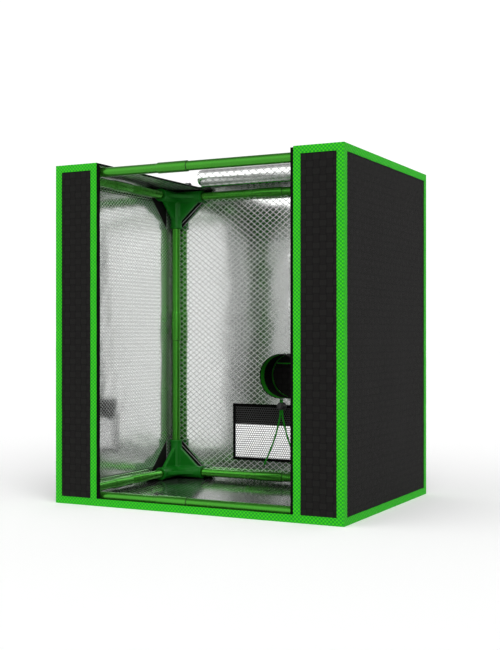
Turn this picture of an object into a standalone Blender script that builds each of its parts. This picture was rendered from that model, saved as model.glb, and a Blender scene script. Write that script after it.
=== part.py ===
# Indoor grow tent: a pushed-together pole frame under a sewn shell, with the door rolled up on the roof.
# Metres, +Z up. The origin is the centre of the underside. The door faces -Y.
import math

import bmesh
import bpy
from mathutils import Matrix, Vector

# Overall size, across the outer faces of the green edge binding
WIDTH = 0.830
DEPTH = 0.610
HEIGHT = 0.900

# Clearance between neighbours, and how far a cut runs past what it cuts
CLEARANCE = 0.0003
OVERRUN = 0.004

# Shell: woven panels, and the binding that is sewn along every edge of them
PANEL_THICKNESS = 0.0012
FLOOR_THICKNESS = 0.0023
BINDING_THICKNESS = 0.0008
BINDING_WIDTH = 0.019
POST_WIDTH = 0.131
REAR_STRIP_DEPTH = 0.070
PATCH_WIDTH = 0.148
PATCH_HEIGHT = 0.128
PATCH_THICKNESS = 0.0008

# Zip tapes along the door, with a slider and a pull tab on each
TAPE_SHOWN = 0.0085
TAPE_LAP = 0.006
TAPE_THICKNESS = 0.0015
SLIDER_LENGTH = 0.014
SLIDER_WIDTH = 0.009
SLIDER_PLATE = 0.0014
SLIDER_OVERHANG = 0.0028
SLIDER_FROM_ROLL = 0.036
SLIDER_CHAMFER = 0.0022
CROWN_WIDTH = 0.0024
CROWN_LENGTH = 0.0092
CROWN_HEIGHT = 0.0046
CROWN_BAR = 0.0014
TAB_LENGTH = 0.026
TAB_WIDTH = 0.0076
TAB_THICKNESS = 0.0014
TAB_EYE_LENGTH = 0.0072
TAB_EYE_WIDTH = 0.0038
TAB_END_BAR = 0.0016
TAB_CORNER = 0.0020

# Frame: thin tubes in corner sockets, each long tube in two halves with a swaged joint
POLE_DIAMETER = 0.025
POLE_WALL = 0.0012
SWAGE_DIAMETER = 0.0285
SWAGE_LENGTH = 0.086
SWAGE_TAPER = 0.004
SWAGE_LAP = 0.076
SEAM_FROM_MIDDLE = 0.020
ROUND_SIDES = 16

# Corner connector: three blind sockets and the webs between them
SOCKET_DIAMETER = 0.036
SOCKET_REACH = 0.096
SOCKET_FLOOR = 0.022
SOCKET_LIP = 0.0016
SOCKET_LIP_LENGTH = 0.005
WEB_THICKNESS = 0.012
WEB_FROM_MOUTH = 0.014
WEB_FROM_UPRIGHT_MOUTH = 0.020
WEB_HOLLOW = 0.009
WEB_EDGE_STEPS = 6

# Door, rolled up on the roof
DOOR_THICKNESS = 0.0008
DOOR_ROLL_PITCH = 0.0014
DOOR_ROLL_CORE = 0.004
DOOR_ROLL_OVERHANG = 0.004
DOOR_TAIL = 0.028
DOOR_POINTS_PER_TURN = 12

# Duct port in the back wall: a sleeve into the tent and a cover flap outside
PORT_HEIGHT = 0.327
SOCK_DIAMETER = 0.131
SOCK_WALL = 0.0012
SOCK_LENGTH = 0.089
SOCK_FLANGE = 0.008
SOCK_HEM_LENGTH = 0.028
SOCK_HEM_WALL = 0.0012
SOCK_SIDES = 32
COVER_MARGIN = 0.012
COVER_THICKNESS = 0.0012
COVER_CORNER = 0.020
CORNER_STEPS = 4

# Vent window in the back wall: net, binding and the folded flap outside
VENT_WIDTH = 0.400
VENT_HEIGHT = 0.172
VENT_BASE = 0.066
VENT_BAND = 0.009
VENT_BAND_THICKNESS = 0.0009
VENT_SEAM = 0.004
NET_THICKNESS = 0.0009
NET_STRAND = 0.0035
NET_COLUMNS = 17
NET_ROWS = 7
FLAP_THICKNESS = 0.0011
FLAP_FOLD_GAP = 0.0014
FLAP_DROP = 0.071
FLAP_ABOVE_VENT = 0.008
FLAP_SIDE_MARGIN = 0.006
FLAP_FOLD_STEPS = 5

# Drawcord of the duct sleeve, with its barrel lock
CORD_DIAMETER = 0.005
CORD_SPACING = 0.0056
CORD_FROM_MOUTH = 0.012
CORD_TO_LOCK = 0.011
CORD_TAIL_DROP = 0.165
CORD_TAIL_SPREAD = 0.0545
CORD_POINTS = 26
LOCK_DIAMETER = 0.0225
LOCK_LENGTH = 0.024
LOCK_FLOOR = 0.002
LOCK_EDGE = 0.0018
LOCK_CORD_PLACE = 0.010
PLUNGER_DIAMETER = 0.0165
PLUNGER_PROUD = 0.006
PLUNGER_INNER_LENGTH = 0.0145
PLUNGER_EDGE = 0.0012
PLUNGER_TRAVEL = 0.002
LOCK_SIDES = 20

# How the cord's tails leave the lock: share of the drop, share of the spread
TAIL_SHARES = [(0.00, 0.000), (0.12, 0.030), (0.28, 0.145), (0.50, 0.340), (0.78, 0.685), (1.00, 1.000)]

# Stack of layers from an outer face inwards, and the frame's corner points
SKIN = BINDING_THICKNESS + CLEARANCE
WALL = SKIN + PANEL_THICKNESS
LINED = WALL + CLEARANCE
FLOOR_LINED = FLOOR_THICKNESS + CLEARANCE
POLE_INSET = LINED + PATCH_THICKNESS + CLEARANCE + SOCKET_DIAMETER / 2 + SOCKET_LIP
POLE_BASE = FLOOR_LINED + PATCH_THICKNESS + CLEARANCE + SOCKET_DIAMETER / 2 + SOCKET_LIP
CORNER_X = WIDTH / 2 - POLE_INSET
CORNER_Y = DEPTH / 2 - POLE_INSET
CORNER_LOW = POLE_BASE
CORNER_HIGH = HEIGHT - POLE_INSET
DOOR_EDGE = WIDTH / 2 - POST_WIDTH
REAR_EDGE = DEPTH / 2 - REAR_STRIP_DEPTH
ROOF_TOP = HEIGHT - SKIN

COLOURS = {
    "oxford": ((0.016, 0.015, 0.014), 0.85, 0.0),
    "binding": ((0.030, 0.500, 0.022), 0.70, 0.0),
    "pole": ((0.060, 0.300, 0.030), 0.28, 0.5),
    "connector": ((0.006, 0.075, 0.010), 0.40, 0.0),
    "lining": ((0.700, 0.710, 0.700), 0.25, 0.8),
    "tape": ((0.008, 0.008, 0.009), 0.60, 0.0),
    "net": ((0.020, 0.020, 0.020), 0.80, 0.0),
    "cord": ((0.010, 0.180, 0.008), 0.75, 0.0),
    "lock": ((0.012, 0.012, 0.012), 0.45, 0.0),
    "slider": ((0.030, 0.030, 0.032), 0.35, 0.9),
}


def clear_scene():
    for old in list(bpy.data.objects):
        bpy.data.objects.remove(old, do_unlink=True)


def make_collection(name, hidden=False):
    collection = bpy.data.collections.new(name)
    bpy.context.scene.collection.children.link(collection)
    collection.hide_render = hidden
    return collection


def make_material(name):
    colour, roughness, metallic = COLOURS[name]
    material = bpy.data.materials.new(name)
    material.use_nodes = True
    shader = material.node_tree.nodes["Principled BSDF"]
    shader.inputs["Base Color"].default_value = (*colour, 1.0)
    shader.inputs["Roughness"].default_value = roughness
    shader.inputs["Metallic"].default_value = metallic
    material.diffuse_color = (*colour, 1.0)
    return material


clear_scene()
tent = make_collection("indoor_grow_tent")
cutters = make_collection("cutters", hidden=True)
materials = {name: make_material(name) for name in COLOURS}


def add_object(name, data, material, location=(0, 0, 0)):
    obj = bpy.data.objects.new(name, data)
    tent.objects.link(obj)
    obj.location = location
    if not data.materials:
        data.materials.append(materials[material])
    return obj


def as_cutter(obj):
    tent.objects.unlink(obj)
    cutters.objects.link(obj)
    obj.hide_render = True
    obj.display_type = "WIRE"
    return obj


def box(name, low, high, material="oxford"):
    """A box between two corners, with its origin at its centre."""
    low, high = Vector(low), Vector(high)
    mesh = bpy.data.meshes.new(name)
    shape = bmesh.new()
    bmesh.ops.create_cube(shape, size=1.0)
    bmesh.ops.scale(shape, vec=high - low, verts=shape.verts)
    shape.to_mesh(mesh)
    shape.free()
    return add_object(name, mesh, material, (low + high) / 2)


def rod(name, start, along, radius, length, sides, material="oxford"):
    """A solid cylinder from a point, along a direction."""
    mesh = bpy.data.meshes.new(name)
    shape = bmesh.new()
    bmesh.ops.create_cone(
        shape, cap_ends=True, segments=sides, radius1=radius, radius2=radius, depth=length
    )
    shape.to_mesh(mesh)
    shape.free()
    along = Vector(along).normalized()
    obj = add_object(name, mesh, material, Vector(start) + along * length / 2)
    obj.rotation_euler = along.to_track_quat("Z", "Y").to_euler()
    return obj


def ball(name, centre, radius, material="oxford"):
    mesh = bpy.data.meshes.new(name)
    shape = bmesh.new()
    bmesh.ops.create_uvsphere(
        shape, u_segments=ROUND_SIDES, v_segments=ROUND_SIDES // 2, radius=radius
    )
    shape.to_mesh(mesh)
    shape.free()
    return add_object(name, mesh, material, centre)


def flat_outline(name, points, thickness, material, turn=None, place=(0, 0, 0)):
    """A closed outline, drawn in X and Y, made a plate of this thickness about its own plane."""
    curve = bpy.data.curves.new(name, "CURVE")
    curve.dimensions = "2D"
    curve.fill_mode = "BOTH"
    curve.extrude = thickness / 2
    spline = curve.splines.new("POLY")
    spline.points.add(len(points) - 1)
    for corner, (across, up) in zip(spline.points, points):
        corner.co = (across, up, 0, 1)
    spline.use_cyclic_u = True
    guide = add_object(name + "_outline", curve, material)
    obj = realised(guide, name, material)
    if turn is not None:
        obj.data.transform(turn.to_4x4())
    obj.location = place
    return obj


def realised(source, name, material):
    """A curve or a piece with modifiers made a plain mesh object, with its own caps welded."""
    bpy.context.view_layer.update()
    graph = bpy.context.evaluated_depsgraph_get()
    mesh = bpy.data.meshes.new_from_object(source.evaluated_get(graph))
    mesh.name = name
    shape = bmesh.new()
    shape.from_mesh(mesh)
    bmesh.ops.remove_doubles(shape, verts=shape.verts, dist=CLEARANCE / 30)
    bmesh.ops.recalc_face_normals(shape, faces=shape.faces)
    shape.to_mesh(mesh)
    shape.free()
    place = source.matrix_world.copy()
    mesh.materials.clear()
    bpy.data.objects.remove(source, do_unlink=True)
    obj = add_object(name, mesh, material)
    obj.matrix_world = place
    return obj


def turned(name, profile, sides, material, smooth=True):
    """A profile of (radius, height) points turned about Z, down its outer side and up its inner one."""
    closed = min(radius for radius, _ in profile) > 0
    mesh = bpy.data.meshes.new(name)
    edges = [(i, i + 1) for i in range(len(profile) - 1)]
    if closed:
        edges.append((len(profile) - 1, 0))
    mesh.from_pydata([(radius, 0, height) for radius, height in profile], edges, [])
    obj = add_object(name, mesh, material)
    screw = obj.modifiers.new("turn", "SCREW")
    screw.axis = "Z"
    screw.steps = sides
    screw.render_steps = sides
    screw.use_merge_vertices = True
    screw.merge_threshold = CLEARANCE / 30
    screw.use_normal_calculate = True
    obj = realised(obj, name, material)
    if smooth:
        shade(obj)
    return obj


def shade(obj):
    obj.data.shade_smooth()
    obj.data.set_sharp_from_angle(angle=math.radians(35))


def combine(target, other, operation="DIFFERENCE"):
    """Cuts the other piece out of the target, or joins it on."""
    modifier = target.modifiers.new(operation.lower(), "BOOLEAN")
    modifier.operation = operation
    modifier.solver = "EXACT"
    modifier.object = as_cutter(other) if other.name in tent.objects else other
    return target


def smooth_route(points, count):
    """Even points on a smooth curve through a hand-set route."""
    stations = [0.0]
    for before, after in zip(points, points[1:]):
        stations.append(stations[-1] + (Vector(after) - Vector(before)).length)
    fine = []
    for i in range(len(points) - 1):
        start, end = Vector(points[i]), Vector(points[i + 1])
        gap = stations[i + 1] - stations[i]
        leave = slope(points, stations, i) * gap
        arrive = slope(points, stations, i + 1) * gap
        for step in range(count):
            t = step / count
            fine.append(
                start * (2 * t**3 - 3 * t**2 + 1)
                + leave * (t**3 - 2 * t**2 + t)
                + end * (3 * t**2 - 2 * t**3)
                + arrive * (t**3 - t**2)
            )
    fine.append(Vector(points[-1]))
    lengths = [0.0]
    for before, after in zip(fine, fine[1:]):
        lengths.append(lengths[-1] + (after - before).length)
    route = []
    reached = 0
    for step in range(count):
        wanted = lengths[-1] * step / (count - 1)
        while reached < len(lengths) - 2 and lengths[reached + 1] < wanted:
            reached += 1
        part = (wanted - lengths[reached]) / (lengths[reached + 1] - lengths[reached])
        route.append(fine[reached].lerp(fine[reached + 1], part))
    return route


def slope(points, stations, i):
    """How fast the route moves at one of its own points."""
    before, after = max(i - 1, 0), min(i + 1, len(points) - 1)
    return (Vector(points[after]) - Vector(points[before])) / (stations[after] - stations[before])


def tube(name, points, diameter, material, resolution=2):
    """A round cord or wire along its points, with filled ends."""
    curve = bpy.data.curves.new(name, "CURVE")
    curve.dimensions = "3D"
    curve.bevel_depth = diameter / 2
    curve.bevel_resolution = resolution
    curve.use_fill_caps = True
    spline = curve.splines.new("POLY")
    spline.points.add(len(points) - 1)
    for corner, point in zip(spline.points, points):
        corner.co = (*point, 1)
    return add_object(name, curve, material)


# Shell


def door_cutter():
    """One block that clears the door's way through the front and the roof."""
    return as_cutter(
        box(
            "door_way",
            (-DOOR_EDGE, -DEPTH / 2 - OVERRUN, BINDING_WIDTH),
            (DOOR_EDGE, REAR_EDGE, HEIGHT + OVERRUN),
        )
    )


def make_panels(door):
    side = WIDTH / 2 - SKIN
    face = DEPTH / 2 - SKIN
    low = FLOOR_THICKNESS + CLEARANCE
    high = HEIGHT - WALL - CLEARANCE
    inner_side = side - PANEL_THICKNESS - CLEARANCE
    box("floor_panel", (-side, -face, 0), (side, face, FLOOR_THICKNESS))
    box("left_panel", (-side, -face, low), (-side + PANEL_THICKNESS, face, high))
    box("right_panel", (side - PANEL_THICKNESS, -face, low), (side, face, high))
    back = box("back_panel", (-inner_side, face - PANEL_THICKNESS, low), (inner_side, face, high))
    front = box("front_panel", (-inner_side, -face, low), (inner_side, -face + PANEL_THICKNESS, high))
    roof = box("roof_panel", (-side, -face, HEIGHT - WALL), (side, face, ROOF_TOP))
    combine(front, door)
    combine(roof, door)
    port = rod(
        "port_hole",
        (0, face - PANEL_THICKNESS - OVERRUN, PORT_HEIGHT),
        (0, 1, 0),
        SOCK_DIAMETER / 2 - SOCK_WALL,
        PANEL_THICKNESS + 2 * OVERRUN,
        SOCK_SIDES,
    )
    combine(back, port)
    half = VENT_WIDTH / 2 - VENT_SEAM
    window = box(
        "vent_hole",
        (-half, face - PANEL_THICKNESS - OVERRUN, VENT_BASE + VENT_SEAM),
        (half, face + OVERRUN, VENT_BASE + VENT_HEIGHT - VENT_SEAM),
    )
    combine(back, window)


def make_binding(door):
    """The green tape round every edge: a thin open box with each panel's field cut out of it."""
    side, face = WIDTH / 2, DEPTH / 2
    thick, band = BINDING_THICKNESS, BINDING_WIDTH
    cage = box("edge_binding", (-side, -face, 0), (side, face, HEIGHT), "binding")
    hollow = box(
        "binding_hollow",
        (-side + thick, -face + thick, -OVERRUN),
        (side - thick, face - thick, HEIGHT - thick),
    )
    combine(cage, hollow)
    combine(cage, door)
    through = box(
        "side_fields",
        (-side - OVERRUN, -face + band, band),
        (side + OVERRUN, face - band, HEIGHT - band),
    )
    combine(cage, through)
    back = box(
        "back_field",
        (-side + band, face - thick - OVERRUN, band),
        (side - band, face + OVERRUN, HEIGHT - band),
    )
    combine(cage, back)
    rear = box(
        "rear_field",
        (-side + band, REAR_EDGE + band, HEIGHT - thick - OVERRUN),
        (side - band, face - band, HEIGHT + OVERRUN),
    )
    combine(cage, rear)
    for sign, name in ((-1, "left"), (1, "right")):
        near, far = sorted((sign * (side - band), sign * (DOOR_EDGE + band)))
        post = box(
            name + "_post_field",
            (near, -face - OVERRUN, band),
            (far, -face + thick + OVERRUN, HEIGHT - band),
        )
        combine(cage, post)
        strip = box(
            name + "_roof_field",
            (near, -face + band, HEIGHT - thick - OVERRUN),
            (far, face - band, HEIGHT + OVERRUN),
        )
        combine(cage, strip)


def make_tapes():
    """Each tape is an L on edge: up the post, then back along the roof strip."""
    front = -DEPTH / 2 + LINED
    top = HEIGHT - LINED
    foot = BINDING_WIDTH - TAPE_LAP
    rear = REAR_EDGE + TAPE_LAP
    thick = TAPE_THICKNESS
    outline = [
        (front, foot),
        (front + thick, foot),
        (front + thick, top - thick),
        (rear, top - thick),
        (rear, top),
        (front, top),
    ]
    width = TAPE_SHOWN + TAPE_LAP
    # the outline is drawn in Y and Z, so it is turned to lie across X
    across = Matrix(((0, 0, 1), (1, 0, 0), (0, 1, 0)))
    for sign, name in ((-1, "left"), (1, "right")):
        middle = sign * (DOOR_EDGE + (TAPE_LAP - TAPE_SHOWN) / 2)
        flat_outline(name + "_zip_tape", outline, width, "tape", across, (middle, 0, 0))


def corner_signs():
    for x_sign, x_name in ((-1, "left"), (1, "right")):
        for y_sign, y_name in ((-1, "front"), (1, "back")):
            for z_sign, z_name in ((-1, "bottom"), (1, "top")):
                yield (x_sign, y_sign, z_sign), f"{y_name}_{x_name}_{z_name}"


def make_patches():
    """A sewn triangle in each corner of the back wall and front posts, drawn from its own corner."""
    front_width = POST_WIDTH - TAPE_LAP - LINED - CLEARANCE
    meshes = {1: patch_mesh("back_patch", PATCH_WIDTH), -1: patch_mesh("front_patch", front_width)}
    for (x_sign, y_sign, z_sign), name in corner_signs():
        height = FLOOR_LINED if z_sign < 0 else HEIGHT - LINED
        place = (x_sign * (WIDTH / 2 - LINED), y_sign * (DEPTH / 2 - LINED), height)
        patch = add_object("corner_patch_" + name, meshes[y_sign], "oxford", place)
        patch.scale = (-x_sign, -y_sign, -z_sign)


def patch_mesh(name, width):
    mesh = bpy.data.meshes.new(name)
    shape = bmesh.new()
    corners = []
    for depth in (0, PATCH_THICKNESS):
        for point in ((0, depth, 0), (width, depth, 0), (0, depth, PATCH_HEIGHT)):
            corners.append(shape.verts.new(point))
    bmesh.ops.convex_hull(shape, input=corners)
    bmesh.ops.recalc_face_normals(shape, faces=shape.faces)
    shape.to_mesh(mesh)
    shape.free()
    return mesh


# Frame


def make_connectors():
    mesh = connector_mesh()
    for (x_sign, y_sign, z_sign), name in corner_signs():
        height = CORNER_LOW if z_sign < 0 else CORNER_HIGH
        place = (x_sign * CORNER_X, y_sign * CORNER_Y, height)
        connector = add_object("connector_" + name, mesh, "connector", place)
        connector.scale = (-x_sign, -y_sign, -z_sign)


def connector_mesh():
    """Three sockets along +X, +Y and +Z from the origin, with a web between each two."""
    radius = SOCKET_DIAMETER / 2
    axes = {"x": Vector((1, 0, 0)), "y": Vector((0, 1, 0)), "z": Vector((0, 0, 1))}
    whole = ball("connector_knuckle", (0, 0, 0), radius, "connector")
    for name, along in axes.items():
        arm = rod("arm_" + name, (0, 0, 0), along, radius, SOCKET_REACH, ROUND_SIDES)
        combine(whole, arm, "UNION")
        lip_start = along * (SOCKET_REACH - SOCKET_LIP_LENGTH)
        lip = rod("lip_" + name, lip_start, along, radius + SOCKET_LIP, SOCKET_LIP_LENGTH, ROUND_SIDES)
        combine(whole, lip, "UNION")
    level = SOCKET_REACH - WEB_FROM_MOUTH
    upright = SOCKET_REACH - WEB_FROM_UPRIGHT_MOUTH
    webs = {
        "xy": (web_outline(level, level, WEB_HOLLOW), Matrix.Identity(3)),
        "yz": (web_outline(level, upright, 0), Matrix(((0, 0, 1), (1, 0, 0), (0, 1, 0)))),
        "zx": (web_outline(upright, level, 0), Matrix(((0, 1, 0), (0, 0, 1), (1, 0, 0)))),
    }
    for name, (outline, turn) in webs.items():
        web = flat_outline("web_" + name, outline, WEB_THICKNESS, "connector", turn)
        combine(whole, web, "UNION")
    for name, along in axes.items():
        bore_radius = POLE_DIAMETER / 2 + CLEARANCE
        length = SOCKET_REACH - SOCKET_FLOOR + OVERRUN
        bore = rod("bore_" + name, along * SOCKET_FLOOR, along, bore_radius, length, ROUND_SIDES)
        combine(whole, bore)
    whole = realised(whole, "connector", "connector")
    shade(whole)
    mesh = whole.data
    bpy.data.objects.remove(whole)
    return mesh


def web_outline(first, second, hollow):
    """From the knuckle out along two arms, with a straight or hollowed free edge between their sockets."""
    rise = POLE_DIAMETER / 2 + CLEARANCE
    points = [(0, 0), (first, 0)]
    start, end = Vector((first, rise)), Vector((rise, second))
    inward = Vector((-1, -1)).normalized()
    steps = WEB_EDGE_STEPS if hollow > 0 else 1
    for step in range(steps + 1):
        share = step / steps
        point = start.lerp(end, share) + inward * hollow * 4 * share * (1 - share)
        points.append(tuple(point))
    points.append((0, second))
    return points


def plain_half(name, length):
    outer = POLE_DIAMETER / 2
    inner = outer - POLE_WALL
    return turned(name, [(outer, length), (outer, 0), (inner, 0), (inner, length)], ROUND_SIDES, "pole")


def swaged_half(name, length):
    """Plain from the socket, then opened out at its far end to take the other half."""
    outer = POLE_DIAMETER / 2
    inner = outer - POLE_WALL
    wide = SWAGE_DIAMETER / 2
    mouth = outer + CLEARANCE
    neck = length - SWAGE_LENGTH
    profile = [
        (wide, length),
        (wide, neck),
        (outer, neck - SWAGE_TAPER),
        (outer, 0),
        (inner, 0),
        (inner, neck - SWAGE_TAPER),
        (mouth, neck),
        (mouth, length),
    ]
    return turned(name, profile, ROUND_SIDES, "pole")


def joined_pole(name, length, seam):
    """A short pole whose two halves stay pushed together: one tube with the step of its swaged joint."""
    outer = POLE_DIAMETER / 2
    inner = outer - POLE_WALL
    wide = SWAGE_DIAMETER / 2
    neck = seam - SWAGE_LENGTH
    profile = [
        (outer, length),
        (outer, seam),
        (wide, seam),
        (wide, neck),
        (outer, neck - SWAGE_TAPER),
        (outer, 0),
        (inner, 0),
        (inner, length),
    ]
    return turned(name, profile, ROUND_SIDES, "pole")


def lay_pole(pole, start, along):
    pole.location = start
    pole.rotation_euler = Vector(along).to_track_quat("Z", "Y").to_euler()


def make_poles():
    seat = SOCKET_FLOOR + CLEARANCE
    levels = (("bottom", CORNER_LOW), ("top", CORNER_HIGH))
    rows = (("front", -CORNER_Y), ("back", CORNER_Y))
    sides = (("left", -CORNER_X), ("right", CORNER_X))
    swaged_width = CORNER_X - seat - SEAM_FROM_MIDDLE
    plain_width = CORNER_X - seat + SEAM_FROM_MIDDLE + SWAGE_LAP
    for row, y in rows:
        for level, z in levels:
            swaged = swaged_half(f"{row}_{level}_pole_left", swaged_width)
            lay_pole(swaged, (-CORNER_X + seat, y, z), (1, 0, 0))
            plain = plain_half(f"{row}_{level}_pole_right", plain_width)
            lay_pole(plain, (CORNER_X - seat, y, z), (-1, 0, 0))
    middle = (CORNER_LOW + CORNER_HIGH) / 2
    rise = CORNER_HIGH - middle
    swaged_rise = rise - seat + SEAM_FROM_MIDDLE
    plain_rise = rise - seat - SEAM_FROM_MIDDLE + SWAGE_LAP
    for row, y in rows:
        for side, x in sides:
            swaged = swaged_half(f"{row}_{side}_upright_upper", swaged_rise)
            lay_pole(swaged, (x, y, CORNER_HIGH - seat), (0, 0, -1))
            plain = plain_half(f"{row}_{side}_upright_lower", plain_rise)
            lay_pole(plain, (x, y, CORNER_LOW + seat), (0, 0, 1))
    depth_length = 2 * (CORNER_Y - seat)
    depth_seam = depth_length / 2 + SEAM_FROM_MIDDLE
    for side, x in sides:
        for level, z in levels:
            pole = joined_pole(f"{side}_{level}_pole", depth_length, depth_seam)
            lay_pole(pole, (x, -CORNER_Y + seat, z), (0, 1, 0))


# Door and its zips


def door_length():
    """The whole door: up the front from the sill, and back over the roof."""
    return HEIGHT - BINDING_WIDTH + DEPTH - REAR_STRIP_DEPTH


def roll_radius():
    return math.sqrt(door_length() * DOOR_ROLL_PITCH / math.pi + DOOR_ROLL_CORE**2)


def roll_middle():
    height = HEIGHT + CLEARANCE + roll_radius()
    return REAR_EDGE - DOOR_ROLL_OVERHANG, height


def make_door_roll():
    """A spiral of the whole door, whose last turn runs out flat to the seam on the rear strip."""
    outer = roll_radius() - DOOR_THICKNESS / 2
    turns = (outer - DOOR_ROLL_CORE) / DOOR_ROLL_PITCH
    steps = round(turns * DOOR_POINTS_PER_TURN)
    middle_y, middle_z = roll_middle()
    centres = []
    for step in range(steps + 1):
        back = (steps - step) / DOOR_POINTS_PER_TURN
        radius = outer - back * DOOR_ROLL_PITCH
        angle = -math.pi / 2 - back * 2 * math.pi
        centres.append(Vector((radius * math.cos(angle), radius * math.sin(angle))))
    centres.append(centres[-1] + Vector((DOOR_TAIL, 0)))
    outside, inside = [], []
    for i, centre in enumerate(centres):
        before, after = centres[max(i - 1, 0)], centres[min(i + 1, len(centres) - 1)]
        run = (after - before).normalized()
        normal = Vector((run.y, -run.x)) * DOOR_THICKNESS / 2
        outside.append(tuple(centre + normal))
        inside.append(tuple(centre - normal))
    across = Matrix(((0, 0, 1), (1, 0, 0), (0, 1, 0)))
    width = 2 * (DOOR_EDGE - TAPE_SHOWN)
    outline = outside + inside[::-1]
    roll = flat_outline("door_roll", outline, width, "lining", across, (0, middle_y, middle_z))
    shade(roll)


def make_sliders():
    """A two-plate slider round each tape's edge, with a crown that holds the pull tab."""
    roll_y, _ = roll_middle()
    y = roll_y - roll_radius() - SLIDER_FROM_ROLL
    edge = DOOR_EDGE - TAPE_SHOWN
    tape_top = HEIGHT - LINED
    under = tape_top - TAPE_THICKNESS - CLEARANCE
    over = tape_top + CLEARANCE
    top = over + SLIDER_PLATE
    half = SLIDER_LENGTH / 2
    for sign, name in ((-1, "left"), (1, "right")):
        start = edge - SLIDER_OVERHANG
        inner, outer = sorted((sign * start, sign * (start + SLIDER_WIDTH)))
        low = (inner, y - half, under - SLIDER_PLATE)
        body = box(name + "_zip_slider", low, (outer, y + half, top), "slider")
        slot_near, slot_far = sorted((sign * (edge - CLEARANCE), sign * (DOOR_EDGE + OVERRUN)))
        slot = box(
            name + "_slider_slot",
            (slot_near, y - half - OVERRUN, under),
            (slot_far, y + half + OVERRUN, over),
        )
        combine(body, slot)
        crown_x = (inner + outer) / 2
        crown = box(
            name + "_crown",
            (crown_x - CROWN_WIDTH / 2, y - CROWN_LENGTH / 2, over),
            (crown_x + CROWN_WIDTH / 2, y + CROWN_LENGTH / 2, top + CROWN_HEIGHT),
        )
        combine(body, crown, "UNION")
        eye = box(
            name + "_crown_eye",
            (crown_x - CROWN_WIDTH, y - CROWN_LENGTH / 2 + CROWN_BAR, top),
            (crown_x + CROWN_WIDTH, y + CROWN_LENGTH / 2 - CROWN_BAR, top + CROWN_HEIGHT - CROWN_BAR),
        )
        combine(body, eye)
        for end in (-1, 1):
            for edge_sign in (-1, 1):
                corner_x = inner if edge_sign < 0 else outer
                nose = box(
                    f"{name}_nose_{end}_{edge_sign}",
                    (-SLIDER_CHAMFER, -SLIDER_CHAMFER, -SLIDER_WIDTH),
                    (SLIDER_CHAMFER, SLIDER_CHAMFER, SLIDER_WIDTH),
                )
                nose.location = (corner_x, y + end * half, under)
                nose.rotation_euler = (0, 0, math.radians(45))
                combine(body, nose)
        make_tab(name, crown_x, y, top)


def tab_pivot(y, top):
    """The end bar's place under the crown, which is the pull tab's own hinge line."""
    pivot_y = y + CROWN_LENGTH / 2 - CROWN_BAR - CLEARANCE - TAB_END_BAR / 2
    swing = math.hypot(TAB_END_BAR / 2, TAB_THICKNESS / 2)
    return pivot_y, top + CLEARANCE + swing


def make_tab(name, x, y, top):
    pivot_y, pivot_z = tab_pivot(y, top)
    near = TAB_END_BAR / 2
    half = TAB_WIDTH / 2
    outline = rounded_outline(-half, half, near - TAB_LENGTH, near, TAB_CORNER)
    tab = flat_outline(name + "_pull_tab", outline, TAB_THICKNESS, "slider", place=(x, pivot_y, pivot_z))
    eye = box(
        name + "_tab_eye",
        (x - TAB_EYE_WIDTH / 2, pivot_y - near - TAB_EYE_LENGTH, pivot_z - TAB_THICKNESS),
        (x + TAB_EYE_WIDTH / 2, pivot_y - near, pivot_z + TAB_THICKNESS),
    )
    combine(tab, eye)


def rounded_outline(left, right, low, high, corner):
    points = []
    for x, y, start in (
        (right - corner, high - corner, 0),
        (left + corner, high - corner, 90),
        (left + corner, low + corner, 180),
        (right - corner, low + corner, 270),
    ):
        for step in range(CORNER_STEPS + 1):
            angle = math.radians(start + 90 * step / CORNER_STEPS)
            points.append((x + corner * math.cos(angle), y + corner * math.sin(angle)))
    return points


# Duct port


def sock_mouth():
    return DEPTH / 2 - LINED - SOCK_LENGTH


def make_sock():
    """A sleeve on its own line, with a sewn flange on the wall and a doubled hem at the mouth."""
    outer = SOCK_DIAMETER / 2
    inner = outer - SOCK_WALL
    profile = [
        (outer, SOCK_LENGTH),
        (outer, SOCK_WALL),
        (outer + SOCK_FLANGE, SOCK_WALL),
        (outer + SOCK_FLANGE, 0),
        (inner, 0),
        (inner, SOCK_LENGTH - SOCK_HEM_LENGTH),
        (inner - SOCK_HEM_WALL, SOCK_LENGTH - SOCK_HEM_LENGTH),
        (inner - SOCK_HEM_WALL, SOCK_LENGTH),
    ]
    sock = turned("duct_sock", profile, SOCK_SIDES, "oxford")
    lay_pole(sock, (0, DEPTH / 2 - LINED, PORT_HEIGHT), (0, -1, 0))


def upright_turn():
    """Turns an outline drawn in X and Y to stand in X and Z."""
    return Matrix(((1, 0, 0), (0, 0, -1), (0, 1, 0)))


def make_port_cover():
    """The flap that closes the port from outside. Its origin is on its top seam, where it swings."""
    half = SOCK_DIAMETER / 2 + COVER_MARGIN
    outline = rounded_outline(-half, half, -2 * half, 0, COVER_CORNER)
    y = DEPTH / 2 - SKIN + CLEARANCE + COVER_THICKNESS / 2
    place = (0, y, PORT_HEIGHT + half)
    flat_outline("port_cover", outline, COVER_THICKNESS, "oxford", upright_turn(), place)


# Vent window


def make_vent():
    inner_face = DEPTH / 2 - LINED
    net_face = inner_face - NET_THICKNESS
    make_net(inner_face, net_face)
    band_back = net_face - CLEARANCE
    band_front = band_back - VENT_BAND_THICKNESS
    half = VENT_WIDTH / 2
    top = VENT_BASE + VENT_HEIGHT
    band = box("vent_binding", (-half, band_front, VENT_BASE), (half, band_back, top), "tape")
    light = box(
        "vent_light",
        (-half + VENT_BAND, band_front - OVERRUN, VENT_BASE + VENT_BAND),
        (half - VENT_BAND, band_back + OVERRUN, top - VENT_BAND),
    )
    combine(band, light)


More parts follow.
